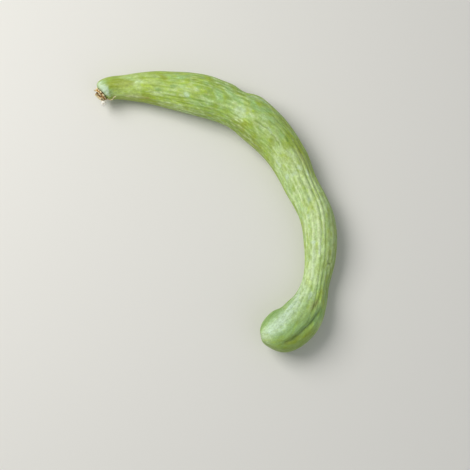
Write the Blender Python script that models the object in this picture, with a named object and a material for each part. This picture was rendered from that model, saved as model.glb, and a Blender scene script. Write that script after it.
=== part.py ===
"""A long, curved, ribbed cucumber melon, picked and lying on a level surface.

Two pieces: the fruit, and the dried, torn remains of its stalk on the narrow end.
Every point of the fruit is given by a station, the distance along the bent core line
from the narrow end, and an angle round that line: 0 on the outer side of the bend,
90 on top, 180 on the inner side and 270 underneath.
"""

import math
import random

import bmesh
import bpy
import numpy as np
from mathutils import Vector

MM = 0.001

# Core line seen from above, x and y in mm, from the narrow end to the blunt end
CORE_LINE = [
    (-108.5, 112.4),
    (-103.0, 116.8),
    (-88.0, 119.5),
    (-62.0, 118.8),
    (-36.0, 114.8),
    (-6.0, 107.6),
    (22.0, 95.4),
    (52.5, 70.6),
    (74.2, 38.0),
    (81.8, 20.6),
    (91.0, 2.9),
    (98.8, -34.0),
    (93.8, -71.7),
    (77.0, -106.2),
    (60.5, -116.7),
    (42.0, -121.2),
]

# Middle of the whole object's box in that drawing, which becomes the origin
DRAWING_MIDDLE = (-1.12, -0.56)

# Station and radius of the body in mm, before its two ends are rounded off
BODY_RADIUS = [
    (0.0, 11.6),
    (19.0, 11.8),
    (33.0, 13.7),
    (52.0, 16.4),
    (72.0, 18.5),
    (98.0, 20.4),
    (118.0, 19.6),
    (137.0, 19.6),
    (157.0, 21.1),
    (177.0, 20.2),
    (210.0, 17.7),
    (232.0, 16.3),
    (257.0, 15.9),
    (293.0, 15.4),
    (331.0, 13.3),
    (344.0, 15.2),
    (357.0, 18.4),
    (370.0, 20.3),
    (384.0, 21.0),
    (420.0, 20.6),
]

# Height of the body over its width
ROUNDNESS = 0.96

# Rounded ends: their lengths, and how square their outlines are, where 2 is an ellipse
NECK_SHOULDER = 6.0 * MM
NECK_SQUARENESS = 2.8
BLUNT_END = 28.0 * MM
BLUNT_SQUARENESS = 2.2

# Mesh of the fruit: four points to a rib, rings closer together at the ends
RIB_COUNT = 20
POINTS_AROUND = RIB_COUNT * 4
NECK_RINGS = 7
BLUNT_RINGS = 10
BODY_RINGS = 47

# Station in mm and the ribs' height there in mm
RIB_HEIGHT = [
    (0.0, 0.0),
    (20.0, 0.15),
    (60.0, 0.45),
    (190.0, 0.6),
    (235.0, 0.85),
    (330.0, 0.8),
    (355.0, 0.5),
    (385.0, 0.25),
    (410.0, 0.1),
]

# Share of a rib's height that lies under the body's own radius
RIB_SUNK = 0.6

# How much every second rib is lower, and how much the ribs' height changes round the
# body, with the number of waves and their phase
RIB_ALTERNATION = 0.2
RIB_UNEVENNESS = (0.3, 1, -0.44)

# The ribs wander to and fro round the body: station in mm and their turn in degrees
RIB_TURN = [
    (0.0, 4.0),
    (120.0, 5.0),
    (150.0, 3.0),
    (180.0, -7.0),
    (228.0, -11.0),
    (262.0, 1.0),
    (285.0, 10.5),
    (308.0, 11.0),
    (347.0, -3.0),
    (400.0, -32.0),
]

# Uneven spaces between the ribs: shift in degrees, number of waves round the body, phase
RIB_SPREAD = [(2.2, 3, 1.05), (1.4, 7, 0.35)]

# Bumps and dents: station mm, angle, half length mm, half angle, height mm
SWELLINGS = [
    (133.0, 5.0, 6.0, 30.0, -2.6),
    (147.0, 8.0, 8.0, 35.0, 1.2),
    (208.0, 5.0, 8.0, 35.0, 0.9),
    (331.0, 20.0, 8.0, 40.0, -0.8),
    (403.0, 10.0, 8.0, 55.0, -4.6),
    (376.0, 182.0, 12.0, 40.0, -0.9),
    (290.0, 250.0, 25.0, 30.0, -0.5),
    (110.0, 215.0, 22.0, 30.0, 0.5),
]

# Creases of the blunt end: first and last station mm, angle at each, how far the middle
# bows off to a higher angle, half angle, depth mm
CREASES = [
    (347.0, 394.0, 43.0, 43.0, 12.5, 7.5, 2.6),
    (338.0, 361.0, 60.0, 75.0, 0.0, 6.0, 0.9),
    (352.0, 404.0, 305.0, 292.0, 0.0, 11.0, 1.8),
    (358.0, 402.0, 196.0, 186.0, 0.0, 12.0, 0.9),
]

# How bluntly a crease starts and stops, where 1 is a half wave and 0 a step
CREASE_BLUNTNESS = 0.8

# Dimple round the withered flower's scar at the middle of the blunt end
SCAR_RADIUS = 3.5 * MM
SCAR_DEPTH = 1.2 * MM

# The fruit touches the surface at three places, pressed flat there
REST_STATIONS = [75.0 * MM, 186.0 * MM, 374.0 * MM]
PRESSED = 0.6 * MM
NECK_LIFT = 6.5 * MM
SPAN_LIFTS = [1.6 * MM, 2.2 * MM]
TIP_LIFT = 1.6 * MM

# Dried remains of the stalk: a corky plate on the narrow end's face
PLATE_GAP = 0.4 * MM
PLATE_RADIUS = 7.6 * MM
PLATE_THICKNESS = 1.7 * MM
PLATE_TAPER = 0.8
PLATE_SIDES = 26

# Waves of the plate's rim: share of its radius, number of waves, phase
PLATE_WAVES = [(0.05, 3, 0.5), (0.03, 7, 0.0)]

# Torn flaps round the plate: how many, root radius, length, width, first and last lean
# from the stalk's direction in degrees
FLAP_ROWS = [
    (7, 5.6 * MM, 4.0 * MM, 5.2 * MM, 14.0, 66.0),
    (5, 2.6 * MM, 3.2 * MM, 3.8 * MM, 2.0, 40.0),
]
FLAP_THICKNESS = 0.8 * MM

# Share by which the flaps are torn off shorter on top and left longer underneath
FLAP_DROOP = 0.4
FLAP_STEPS = (3, 4)
FLAP_SEED = 7

# Shape of a flap: how much it narrows to its tip and how deep it is cupped, both as
# shares of its width, how deep its root sits in the plate, and the least radius that
# its width is bent round
FLAP_TAPER = 0.45
FLAP_CUP = 0.12
FLAP_SEAT = 0.55
FLAP_LEAST_BEND = 2.5 * MM

# Draws for each flap: the ragged edge and the reach as shares of the length, the turn
# as a share of the space between flaps, and the twist and both leans in degrees
FLAP_RAGGED = (0.72, 1.12)
FLAP_REACH = (0.82, 1.1)
FLAP_PLACE = (-0.15, 0.15)
FLAP_TWIST = (-14.0, 14.0)
FLAP_FIRST_LEAN = (-6.0, 6.0)
FLAP_LAST_LEAN = (-16.0, 10.0)

# Turn of each row against the one before it, as a share of the space between flaps
ROW_TURN = 0.3

# Pale pith that is left at the inner side of the torn crown
PITH_RADIUS = 2.1 * MM
PITH_PLACE = (-8.0 * MM, 0.6 * MM, 4.6 * MM)
PITH_LUMPS = (0.82, 1.12)

# Strip of skin peeled back from the crown, up the neck's inner side
STRIP_ANGLES = (math.radians(172.0), math.radians(146.0))
STRIP_STATIONS = (-1.4 * MM, 11.5 * MM)
STRIP_ROOT = 5.4 * MM
STRIP_STEPS = 12
STRIP_WIDTH = 1.3 * MM
STRIP_THICKNESS = 0.7 * MM
STRIP_GAP = 0.45 * MM

# How much the strip narrows to its tip, how far it bows off the neck, and how closely
# its points crowd at the plate, where 1 is evenly
STRIP_TAPER = 0.6
STRIP_BOW = 1.0 * MM
STRIP_CROWDING = 1.6

# Colour, roughness and metallic value of each piece
FRUIT_FINISH = ("ribbed_skin", (0.42, 0.53, 0.19, 1.0), 0.48, 0.0)
STALK_FINISH = ("dried_stalk", (0.38, 0.22, 0.09, 1.0), 0.85, 0.0)


def clear_scene():
    for item in list(bpy.data.objects):
        bpy.data.objects.remove(item, do_unlink=True)


def make_material(finish):
    name, colour, roughness, metallic = finish
    material = bpy.data.materials.new(name)
    material.use_nodes = True
    shader = material.node_tree.nodes["Principled BSDF"]
    shader.inputs["Base Color"].default_value = colour
    shader.inputs["Roughness"].default_value = roughness
    shader.inputs["Metallic"].default_value = metallic
    material.diffuse_color = colour
    return material


def spline_bends(knots, values):
    """Second derivatives at the knots of the natural cubic spline through the values."""
    gaps = np.diff(knots)
    slopes = np.diff(values, axis=0) / gaps[:, None]
    system = np.eye(len(knots))
    right = np.zeros_like(values)
    for i in range(1, len(knots) - 1):
        system[i, i - 1 : i + 2] = gaps[i - 1], 2 * (gaps[i - 1] + gaps[i]), gaps[i]
        right[i] = 6 * (slopes[i] - slopes[i - 1])
    return np.linalg.solve(system, right)


def spline(knots, values, at):
    """Value and slope of that spline at each place, carried on straight past its ends."""
    bends = spline_bends(knots, values)
    inside = np.clip(at, knots[0], knots[-1])
    i = np.clip(np.searchsorted(knots, inside) - 1, 0, len(knots) - 2)
    gap = (knots[i + 1] - knots[i])[:, None]
    left = (knots[i + 1] - inside)[:, None]
    right = (inside - knots[i])[:, None]
    low = values[i] / gap - bends[i] * gap / 6
    high = values[i + 1] / gap - bends[i + 1] * gap / 6
    cubic = (bends[i] * left**3 + bends[i + 1] * right**3) / (6 * gap)
    slope = (bends[i + 1] * right**2 - bends[i] * left**2) / (2 * gap) + high - low
    past = (at - inside)[:, None]
    return cubic + low * left + high * right + slope * past, slope


CORE_POINTS = (np.array(CORE_LINE) - np.array(DRAWING_MIDDLE)) * MM
CORE_STATIONS = np.concatenate(
    ([0.0], np.cumsum(np.linalg.norm(np.diff(CORE_POINTS, axis=0), axis=1)))
)
LENGTH = CORE_STATIONS[-1]
BODY_TABLE = np.array(BODY_RADIUS) * MM


def body_radius(station):
    """Radius of the body at each station, on a smooth curve through its table."""
    return spline(BODY_TABLE[:, 0], BODY_TABLE[:, 1:], station)[0][:, 0]


def lift(station):
    """Height of the body's underside over the surface, which is less than 0 where it rests."""
    first, middle, last = REST_STATIONS
    before = NECK_LIFT * (1 - station / first) ** 2
    arch = SPAN_LIFTS[0] * np.sin(math.pi * (station - first) / (middle - first)) ** 2
    bow = SPAN_LIFTS[1] * np.sin(math.pi * (station - middle) / (last - middle)) ** 2
    after = TIP_LIFT * ((station - last) / (LENGTH - last)) ** 2
    places = [station < first, station < middle, station < last]
    return np.select(places, [before, arch, bow], after) - PRESSED


def core_frame(station):
    """Centre of the section at each station, with its outward and upward directions."""
    flat, slope = spline(CORE_STATIONS, CORE_POINTS, station)
    height = ROUNDNESS * body_radius(np.clip(station, 0, LENGTH)) + lift(station)
    centre = np.column_stack((flat, height))
    run = slope / np.linalg.norm(slope, axis=1)[:, None]
    outward = np.column_stack((-run[:, 1], run[:, 0], np.zeros(len(run))))
    upward = np.tile((0.0, 0.0, 1.0), (len(run), 1))
    return centre, outward, upward


def turn_between(angle, other):
    """Difference of two angles, from -pi to pi."""
    return (angle - other + math.pi) % (2 * math.pi) - math.pi


def rib_turn(station, base):
    """Turn of the ribs round the body: it changes along it and spaces them unevenly."""
    table = np.array(RIB_TURN)
    turn = spline(table[:, 0] * MM, table[:, 1:], station)[0][:, 0]
    for shift, waves, phase in RIB_SPREAD:
        turn = turn + shift * np.sin(waves * base + phase)
    return np.radians(turn)


def ribs(station, base):
    """Rounded ribs with narrow furrows between them, every second one a little lower."""
    table = np.array(RIB_HEIGHT) * MM
    height = np.interp(station, table[:, 0], table[:, 1])
    wave = np.cos(base * RIB_COUNT / 2)
    share, waves, phase = RIB_UNEVENNESS
    uneven = 1 + RIB_ALTERNATION * wave + share * np.sin(waves * base + phase)
    return height * (np.abs(wave) - RIB_SUNK) * uneven


def swellings(station, angle):
    """Sum of the bumps and dents, each a bell shape in station and in angle."""
    total = np.zeros_like(station)
    for place, turn, half_length, half_turn, height in SWELLINGS:
        along = (station - place * MM) / (half_length * MM)
        around = turn_between(angle, math.radians(turn)) / math.radians(half_turn)
        total += height * MM * np.exp(-(along**2) - around**2)
    return total


def creases(station, angle):
    """Depth of the long furrows of the blunt end, deepest in the middle of each."""
    total = np.zeros_like(station)
    for start, stop, first, last, bow, half_turn, depth in CREASES:
        along = np.clip((station / MM - start) / (stop - start), 0, 1)
        arch = np.sin(math.pi * along)
        turn = np.radians(first + (last - first) * along + bow * arch)
        around = turn_between(angle, turn) / math.radians(half_turn)
        fade = arch**CREASE_BLUNTNESS
        total += depth * MM * fade * np.exp(-(around**2))
    return total


def skin_points(station, base, rounding):
    """Points of the skin. Rounding is 1 along the body and falls to 0 at each end."""
    centre, outward, upward = core_frame(station)
    angle = base + rib_turn(station, base)
    radius = body_radius(station) + ribs(station, base)
    radius += swellings(station, angle) - creases(station, angle)
    across = (rounding * radius * np.cos(angle))[:, None]
    high = (rounding * radius * ROUNDNESS * np.sin(angle))[:, None]
    points = centre + across * outward + high * upward
    points[:, 2] = np.maximum(points[:, 2], 0.0)
    return points


def ring_stations():
    """Station and rounding of every ring, from the narrow end's pole to the blunt one's."""
    neck = np.linspace(0, math.pi / 2, NECK_RINGS + 1)
    blunt = np.linspace(0, math.pi / 2, BLUNT_RINGS + 1)
    body = np.linspace(NECK_SHOULDER, LENGTH - BLUNT_END, BODY_RINGS + 2)[1:-1]
    neck_station = NECK_SHOULDER * (1 - np.cos(neck) ** (2 / NECK_SQUARENESS))
    neck_rounding = np.sin(neck) ** (2 / NECK_SQUARENESS)
    reach = np.sin(blunt) ** (2 / BLUNT_SQUARENESS)
    blunt_station = LENGTH - BLUNT_END * (1 - reach)
    blunt_rounding = np.cos(blunt) ** (2 / BLUNT_SQUARENESS)
    blunt_rounding[-1] = 0.0
    from_scar = body_radius(np.array([LENGTH])) * blunt_rounding
    dimple = np.exp(-((from_scar / SCAR_RADIUS) ** 2))
    blunt_station = blunt_station - SCAR_DEPTH * dimple
    station = np.concatenate((neck_station, body, blunt_station))
    rounding = np.concatenate((neck_rounding, np.ones(BODY_RINGS), blunt_rounding))
    return station, rounding


def add_object(name, mesh, collection, material):
    mesh.name = name
    item = bpy.data.objects.new(name, mesh)
    collection.objects.link(item)
    mesh.materials.clear()
    mesh.materials.append(material)
    mesh.shade_smooth()
    return item


def build_fruit(collection):
    """A sphere whose rings are carried to their stations and whose points take the skin's shape."""
    station, rounding = ring_stations()
    last_ring = len(station) - 1
    bm = bmesh.new()
    bmesh.ops.create_uvsphere(
        bm, u_segments=POINTS_AROUND, v_segments=last_ring, radius=1.0
    )
    directions = np.array([vert.co for vert in bm.verts])
    ring = np.rint(
        np.arccos(np.clip(-directions[:, 2], -1, 1)) / math.pi * last_ring
    ).astype(int)
    base = np.arctan2(directions[:, 1], directions[:, 0])
    for vert, point in zip(bm.verts, skin_points(station[ring], base, rounding[ring])):
        vert.co = point
    mesh = bpy.data.meshes.new("fruit")
    bm.to_mesh(mesh)
    bm.free()
    return add_object("ribbed_fruit", mesh, collection, make_material(FRUIT_FINISH))


def stalk_frame():
    """Middle of the narrow end's face, its outward and downward directions, and the stalk's."""
    centre, outward, upward = (Vector(rows[0]) for rows in core_frame(np.array([0.0])))
    return centre, outward, -upward, upward.cross(outward)


def place_in_crown(bm, frame):
    """Moves a mesh from the crown's own x, y, z, with z along the stalk, to the fruit's end."""
    centre, outward, downward, along = frame
    for vert in bm.verts:
        x, y, z = vert.co
        vert.co = centre + outward * x + downward * y + along * z


def add_torn_piece(bm, name, collection):
    """Object of a piece that is going to be joined to the plate."""
    mesh = bpy.data.meshes.new(name)
    bm.to_mesh(mesh)
    bm.free()
    item = bpy.data.objects.new(name, mesh)
    collection.objects.link(item)
    item.hide_render = True
    item.display_type = "WIRE"
    return item


def make_plate(frame):
    """Corky plate with an uneven rim."""
    bm = bmesh.new()
    bmesh.ops.create_cone(
        bm,
        cap_ends=True,
        cap_tris=True,
        segments=PLATE_SIDES,
        radius1=PLATE_RADIUS,
        radius2=PLATE_RADIUS * PLATE_TAPER,
        depth=PLATE_THICKNESS,
    )
    for vert in bm.verts:
        turn = math.atan2(vert.co.y, vert.co.x)
        uneven = 1 + sum(a * math.sin(n * turn + phase) for a, n, phase in PLATE_WAVES)
        vert.co.x *= uneven
        vert.co.y *= uneven
        vert.co.z += PLATE_GAP + PLATE_THICKNESS / 2
    place_in_crown(bm, frame)
    mesh = bpy.data.meshes.new("plate")
    bm.to_mesh(mesh)
    bm.free()
    return mesh


def add_flap(name, turn, root, length, width, leans, draw, frame, collection):
    """One torn flap: a curled blade that leans further out towards its ragged tip."""
    across_steps, along_steps = FLAP_STEPS
    first, last = (math.radians(lean) for lean in leans)
    ragged = [draw.uniform(*FLAP_RAGGED) for _ in range(across_steps + 1)]
    twist = math.radians(draw.uniform(*FLAP_TWIST))
    bm = bmesh.new()
    bmesh.ops.create_grid(
        bm, x_segments=across_steps, y_segments=along_steps, size=1.0
    )
    for vert in bm.verts:
        column = round((vert.co.x + 1) / 2 * across_steps)
        way = (vert.co.y + 1) / 2
        side = vert.co.x * width / 2 * (1 - FLAP_TAPER * way**2)
        travel = length * way * (1 + (ragged[column] - 1) * way)
        lean = first + (last - first) * way / 2
        radius = root + travel * math.sin(lean) + FLAP_CUP * side**2 / width
        height = PLATE_GAP + PLATE_THICKNESS * FLAP_SEAT + travel * math.cos(lean)
        bend = turn + side / max(root, FLAP_LEAST_BEND) + twist * way
        vert.co = (radius * math.cos(bend), radius * math.sin(bend), height)
    bmesh.ops.triangulate(bm, faces=bm.faces)
    bmesh.ops.solidify(bm, geom=bm.faces, thickness=FLAP_THICKNESS)
    place_in_crown(bm, frame)
    return add_torn_piece(bm, name, collection)


def add_flaps(frame, collection):
    draw = random.Random(FLAP_SEED)
    for row, (count, root, length, width, first, last) in enumerate(FLAP_ROWS):
        for i in range(count):
            turn = 2 * math.pi * (i + ROW_TURN * row + draw.uniform(*FLAP_PLACE)) / count
            leans = (
                first + draw.uniform(*FLAP_FIRST_LEAN),
                last + draw.uniform(*FLAP_LAST_LEAN),
            )
            reach = length * draw.uniform(*FLAP_REACH) * (1 + FLAP_DROOP * math.sin(turn))
            name = f"flap_{row}_{i}"
            add_flap(name, turn, root, reach, width, leans, draw, frame, collection)


def add_pith(frame, collection):
    """Lumpy knob of dry pith."""
    bm = bmesh.new()
    bmesh.ops.create_icosphere(bm, subdivisions=2, radius=PITH_RADIUS)
    draw = random.Random(FLAP_SEED)
    for vert in bm.verts:
        vert.co *= draw.uniform(*PITH_LUMPS)
        vert.co += Vector(PITH_PLACE)
    place_in_crown(bm, frame)
    return add_torn_piece(bm, "pith", collection)


def add_strip(collection):
    """Strip of skin from the crown's rim, which follows the neck a little clear of it."""
    way = np.repeat(np.linspace(0, 1, STRIP_STEPS + 1), 2)
    side = np.tile((-1.0, 1.0), STRIP_STEPS + 1)
    start, stop = STRIP_STATIONS
    station = start + (stop - start) * way**STRIP_CROWDING
    centre, outward, upward = core_frame(station)
    radius = body_radius(station)
    middle = STRIP_ANGLES[0] + (STRIP_ANGLES[1] - STRIP_ANGLES[0]) * way
    angle = middle + side * (STRIP_WIDTH / 2) * (1 - STRIP_TAPER * way) / radius
    clear = STRIP_GAP + STRIP_THICKNESS
    depth = np.clip((station + clear) / (NECK_SHOULDER + clear), 0, 1)
    hug = (1 - (1 - depth) ** NECK_SQUARENESS) ** (1 / NECK_SQUARENESS)
    wall = np.maximum((radius + clear) * hug, STRIP_ROOT)
    reach = wall + STRIP_BOW * np.sin(math.pi * way) * (1 - way)
    across = (reach * np.cos(angle))[:, None]
    high = (reach * np.sin(angle))[:, None]
    points = centre + across * outward + high * upward
    bm = bmesh.new()
    bmesh.ops.create_grid(bm, x_segments=1, y_segments=STRIP_STEPS, size=1.0)
    order = sorted(bm.verts, key=lambda vert: (round(vert.co.y, 4), vert.co.x))
    for vert, point in zip(order, points):
        vert.co = point
    bmesh.ops.triangulate(bm, faces=bm.faces)
    bmesh.ops.solidify(bm, geom=bm.faces, thickness=STRIP_THICKNESS)
    return add_torn_piece(bm, "strip", collection)


def build_stalk(collection):
    """The dried stalk's remains, with every torn piece joined to its plate."""
    frame = stalk_frame()
    torn = bpy.data.collections.new("torn_pieces")
    bpy.context.scene.collection.children.link(torn)
    torn.hide_render = True
    add_flaps(frame, torn)
    add_pith(frame, torn)
    add_strip(torn)
    stalk = add_object(
        "dried_stalk_end", make_plate(frame), collection, make_material(STALK_FINISH)
    )
    union = stalk.modifiers.new("join_torn_pieces", "BOOLEAN")
    union.operation = "UNION"
    union.operand_type = "COLLECTION"
    union.collection = torn
    union.solver = "EXACT"
    bpy.context.view_layer.update()
    graph = bpy.context.evaluated_depsgraph_get()
    joined = bpy.data.meshes.new_from_object(stalk.evaluated_get(graph))
    stalk.modifiers.clear()
    stalk.data = joined
    joined.name = "dried_stalk_end"
    for item in list(torn.objects):
        bpy.data.objects.remove(item, do_unlink=True)
    bpy.data.collections.remove(torn)
    return stalk


def main():
    clear_scene()
    collection = bpy.data.collections.new("cucumber_melon")
    bpy.context.scene.collection.children.link(collection)
    build_fruit(collection)
    build_stalk(collection)


main()
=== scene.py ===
"""Looks of a long, curved, ribbed cucumber melon that lies on a pale surface.

The fruit and the dried remains of its stalk are modelled here again, finer, in the
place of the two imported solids, and get their skin, bloom, scars and torn tissue.

A point of the fruit is given by its station, the distance in mm along the bent core
line from the narrow end, and by an angle round that line in degrees: 0 on the outer
side of the bend, 90 on top, 180 on the inner side and 270 underneath.
"""

import logging
import math
import random
from dataclasses import dataclass, field
from enum import Enum
from typing import Any, ClassVar

import bpy
import numpy as np
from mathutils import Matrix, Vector


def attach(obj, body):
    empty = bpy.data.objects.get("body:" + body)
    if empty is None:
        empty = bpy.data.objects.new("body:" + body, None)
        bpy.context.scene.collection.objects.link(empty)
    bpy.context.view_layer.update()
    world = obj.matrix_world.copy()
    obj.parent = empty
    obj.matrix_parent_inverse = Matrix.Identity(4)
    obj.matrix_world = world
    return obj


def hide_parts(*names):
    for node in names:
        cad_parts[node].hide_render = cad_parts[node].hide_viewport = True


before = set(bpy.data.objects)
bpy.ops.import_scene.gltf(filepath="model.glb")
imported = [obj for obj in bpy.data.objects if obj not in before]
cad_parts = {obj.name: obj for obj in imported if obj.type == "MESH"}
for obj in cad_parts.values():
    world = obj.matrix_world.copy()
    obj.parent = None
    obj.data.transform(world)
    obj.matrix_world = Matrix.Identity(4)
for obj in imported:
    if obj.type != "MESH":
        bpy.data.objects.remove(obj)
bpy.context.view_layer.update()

LOG = logging.getLogger("cucumber_melon")
MM = 0.001
# Nearly all values of a noise lie between these
NOISE_SPAN = (0.3, 0.7)
# Limits of a random phase in radians, nearly a whole turn
PHASES = (0.0, 6.28)

Pair = tuple[float, float]
Triple = tuple[float, float, float]
# Rows of a place and a value
Table = tuple[Pair, ...]
# Waves, each by its size, its count in a turn and its phase
Waves = tuple[tuple[float, int, float], ...]
Tree = bpy.types.NodeTree
Socket = bpy.types.NodeSocket


# Helpers


class Tone(Enum):
    """Colours of the fruit, its stalk's remains and the studio, as sRGB hex values."""

    FLESH = "#A1BF55"
    NECK = "#94AD39"
    COOL = "#9BC482"
    LIME = "#A8C52C"
    OLIVE = "#8C9D24"
    BRONZE = "#8E8840"
    SHADE = "#6F9742"
    PALE = "#CFE4AC"
    WAX = "#C9E1C8"
    INK = "#5A6E2A"
    CORK = "#A98A58"
    TAN = "#C28C42"
    CREAM = "#EFE3B8"
    UMBER = "#46280C"
    PITH = "#FBFAF4"
    PITH_SHADE = "#BDB9A8"
    FLOOR = "#E2E2DF"
    SKY = "#F3F4F2"

    @property
    def linear(self) -> tuple[float, float, float, float]:
        """The colour in linear light, with an alpha of 1."""
        return linear_colour(self.value)


class Tint(Enum):
    """Tints of the skin in the order in which they are laid on, each with its top share."""

    NECK = (Tone.NECK, 0.9)
    COOL = (Tone.COOL, 0.85)
    LIME = (Tone.LIME, 0.85)
    OLIVE = (Tone.OLIVE, 0.85)
    BRONZE = (Tone.BRONZE, 0.8)
    SHADE = (Tone.SHADE, 0.85)
    PALE = (Tone.PALE, 0.85)
    WAX = (Tone.WAX, 0.85)
    INK = (Tone.INK, 0.9)
    CORK = (Tone.CORK, 0.95)

    @property
    def mask(self) -> str:
        """Name of the point attribute that says where the tint lies."""
        return f"tint_{self.name.lower()}"


def linear_colour(code: str) -> tuple[float, float, float, float]:
    """Turns an sRGB hex value into linear light by the sRGB curve.

    Args:
        code: The colour as "#RRGGBB".

    Returns:
        Red, green, blue and an alpha of 1.
    """
    parts = [int(code[i : i + 2], 16) / 255 for i in (1, 3, 5)]
    lit = [c / 12.92 if c <= 0.04045 else ((c + 0.055) / 1.055) ** 2.4 for c in parts]
    return (lit[0], lit[1], lit[2], 1.0)


def smooth(low: float, high: float, value: np.ndarray) -> np.ndarray:
    """Smooth step: 0 below low, 1 above high, and 3t squared less 2t cubed between.

    Args:
        low: Where the step starts.
        high: Where it ends. It may be lower than low, which turns the step round.
        value: The values to map.

    Returns:
        Values from 0 to 1.
    """
    t = np.clip((value - low) / (high - low), 0.0, 1.0)
    return t * t * (3 - 2 * t)


def turn_between(angle: np.ndarray, other: float | np.ndarray) -> np.ndarray:
    """Difference of two angles in degrees, brought between -180 and 180."""
    return (angle - other + 180.0) % 360.0 - 180.0


def spline(
    knots: np.ndarray, values: np.ndarray, at: np.ndarray
) -> tuple[np.ndarray, np.ndarray]:
    """Natural cubic spline: its second derivatives solve one linear system, 0 at both ends.

    Args:
        knots: Rising places of the values.
        values: One row for each knot.
        at: Places to read, past the ends too, where the spline goes on straight.

    Returns:
        The values and the slopes there, one row for each place.
    """
    gaps = np.diff(knots)
    slopes = np.diff(values, axis=0) / gaps[:, None]
    system = np.eye(len(knots))
    inner = np.arange(1, len(knots) - 1)
    system[inner, inner - 1] = gaps[:-1]
    system[inner, inner] = 2 * (gaps[:-1] + gaps[1:])
    system[inner, inner + 1] = gaps[1:]
    right_side = np.zeros_like(values)
    right_side[inner] = 6 * np.diff(slopes, axis=0)
    bends = np.linalg.solve(system, right_side)
    inside = np.clip(at, knots[0], knots[-1])
    i = np.clip(np.searchsorted(knots, inside) - 1, 0, len(knots) - 2)
    gap = (knots[i + 1] - knots[i])[:, None]
    left = (knots[i + 1] - inside)[:, None]
    right = (inside - knots[i])[:, None]
    low = values[i] / gap - bends[i] * gap / 6
    high = values[i + 1] / gap - bends[i + 1] * gap / 6
    cubic = (bends[i] * left**3 + bends[i + 1] * right**3) / (6 * gap)
    slope = (bends[i + 1] * right**2 - bends[i] * left**2) / (2 * gap) + high - low
    past = (at - inside)[:, None]
    return cubic + low * left + high * right + slope * past, slope


def read_table(table: Table, station: np.ndarray) -> np.ndarray:
    """Values of a table at those stations, straight between its rows."""
    places, values = np.array(table).T
    return np.interp(station, places, values)


def wave_sum(waves: Waves, turn: np.ndarray) -> np.ndarray:
    """Sum of sine waves, each given by its size, its count in a turn and its phase."""
    return np.sum([size * np.sin(count * turn + phase) for size, count, phase in waves], axis=0)


def add_node(
    tree: Tree,
    kind: str,
    result: str,
    inputs: dict[str, Any] | tuple[Any, ...] = (),
    **settings: Any,
) -> Socket | None:
    """Adds a node, sets its properties, and fills or links its inputs.

    Args:
        tree: The node tree.
        kind: Blender's name of the node type.
        result: Identifier of the output socket that is wanted, or "" for none.
        inputs: Values, or sockets to link from, by the sockets' identifiers or in
            the order of the node's inputs.
        settings: Property names and values.

    Returns:
        The wanted output socket, or None.
    """
    made = tree.nodes.new(kind)
    for name, value in settings.items():
        setattr(made, name, value)
    sockets = {socket.identifier: socket for socket in made.inputs}
    given = inputs if isinstance(inputs, dict) else dict(zip(sockets, inputs))
    for name, value in given.items():
        if isinstance(value, Socket):
            tree.links.new(value, sockets[name])
        else:
            sockets[name].default_value = value
    return next((s for s in made.outputs if s.identifier == result), None)


def blank_material(name: str) -> tuple[bpy.types.Material, Tree]:
    """Makes a material with an empty node tree.

    Args:
        name: Name of the material.

    Returns:
        The material and its tree.
    """
    material = bpy.data.materials.new(name)
    material.use_nodes = True
    material.node_tree.nodes.clear()
    return material, material.node_tree


def end_material(tree: Tree, inputs: dict[str, Any]) -> None:
    """Gives a material its shader with those inputs, and the shader to its output."""
    shader = add_node(tree, "ShaderNodeBsdfPrincipled", "BSDF", inputs)
    add_node(tree, "ShaderNodeOutputMaterial", "", {"Surface": shader})


def lay_tone(
    tree: Tree,
    colour: Any,
    tone: Tone,
    mask: str,
    broken: Socket,
    most: float = 1.0,
) -> tuple[Socket, Socket]:
    """Lays a tone over a colour where a point attribute says, with a broken edge.

    Its share is the attribute times the broken pattern, cut at 1, times the top share.

    Args:
        tree: The material's tree.
        colour: The colour below, a value or a socket.
        tone: The tone that is laid on.
        mask: Name of the attribute.
        broken: Pattern that breaks the edges of the mask.
        most: Top share of the tone.

    Returns:
        The new colour and the tone's share.
    """
    value = add_node(tree, "ShaderNodeAttribute", "Fac", attribute_name=mask)
    inputs = (value, broken)
    share = add_node(tree, "ShaderNodeMath", "Value", inputs, operation="MULTIPLY", use_clamp=True)
    share = add_node(tree, "ShaderNodeMath", "Value", (share, most), operation="MULTIPLY")
    mixed = {"Factor_Float": share, "A_Color": colour, "B_Color": tone.linear}
    return add_node(tree, "ShaderNodeMix", "Result_Color", mixed, data_type="RGBA"), share


@dataclass(frozen=True)
class Grain:
    """A fine random pattern: its cells' size in mm, and how far it lights and darkens.

    It can be drawn out along z, so many times longer than it is wide.
    """

    size_mm: float
    light: Pair = (1.0, 1.0)
    stretch: float = 1.0
    detail: float = 3.0

    def pattern(self, tree: Tree, place: Socket) -> Socket:
        """Adds the pattern.

        Args:
            tree: The material's tree.
            place: Coordinates in metres.

        Returns:
            The pattern's value, 0.5 on average.
        """
        inputs = {"Vector": place, "Scale": (1.0, 1.0, 1 / self.stretch)}
        drawn = add_node(tree, "ShaderNodeMapping", "Vector", inputs)
        inputs = {"Vector": drawn, "Scale": 1 / (self.size_mm * MM), "Detail": self.detail}
        return add_node(tree, "ShaderNodeTexNoise", "Fac", inputs)

    def lit(self, tree: Tree, colour: Any, pattern: Socket) -> Socket:
        """Multiplies a colour by a factor that follows the pattern over its light.

        Args:
            tree: The material's tree.
            colour: The colour.
            pattern: The pattern's value.

        Returns:
            The lit colour.
        """
        inputs = (pattern, *NOISE_SPAN, *self.light)
        factor = add_node(tree, "ShaderNodeMapRange", "Result", inputs)
        scaled = {"Vector": colour, "Scale": factor}
        return add_node(tree, "ShaderNodeVectorMath", "Vector", scaled, operation="SCALE")


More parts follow.
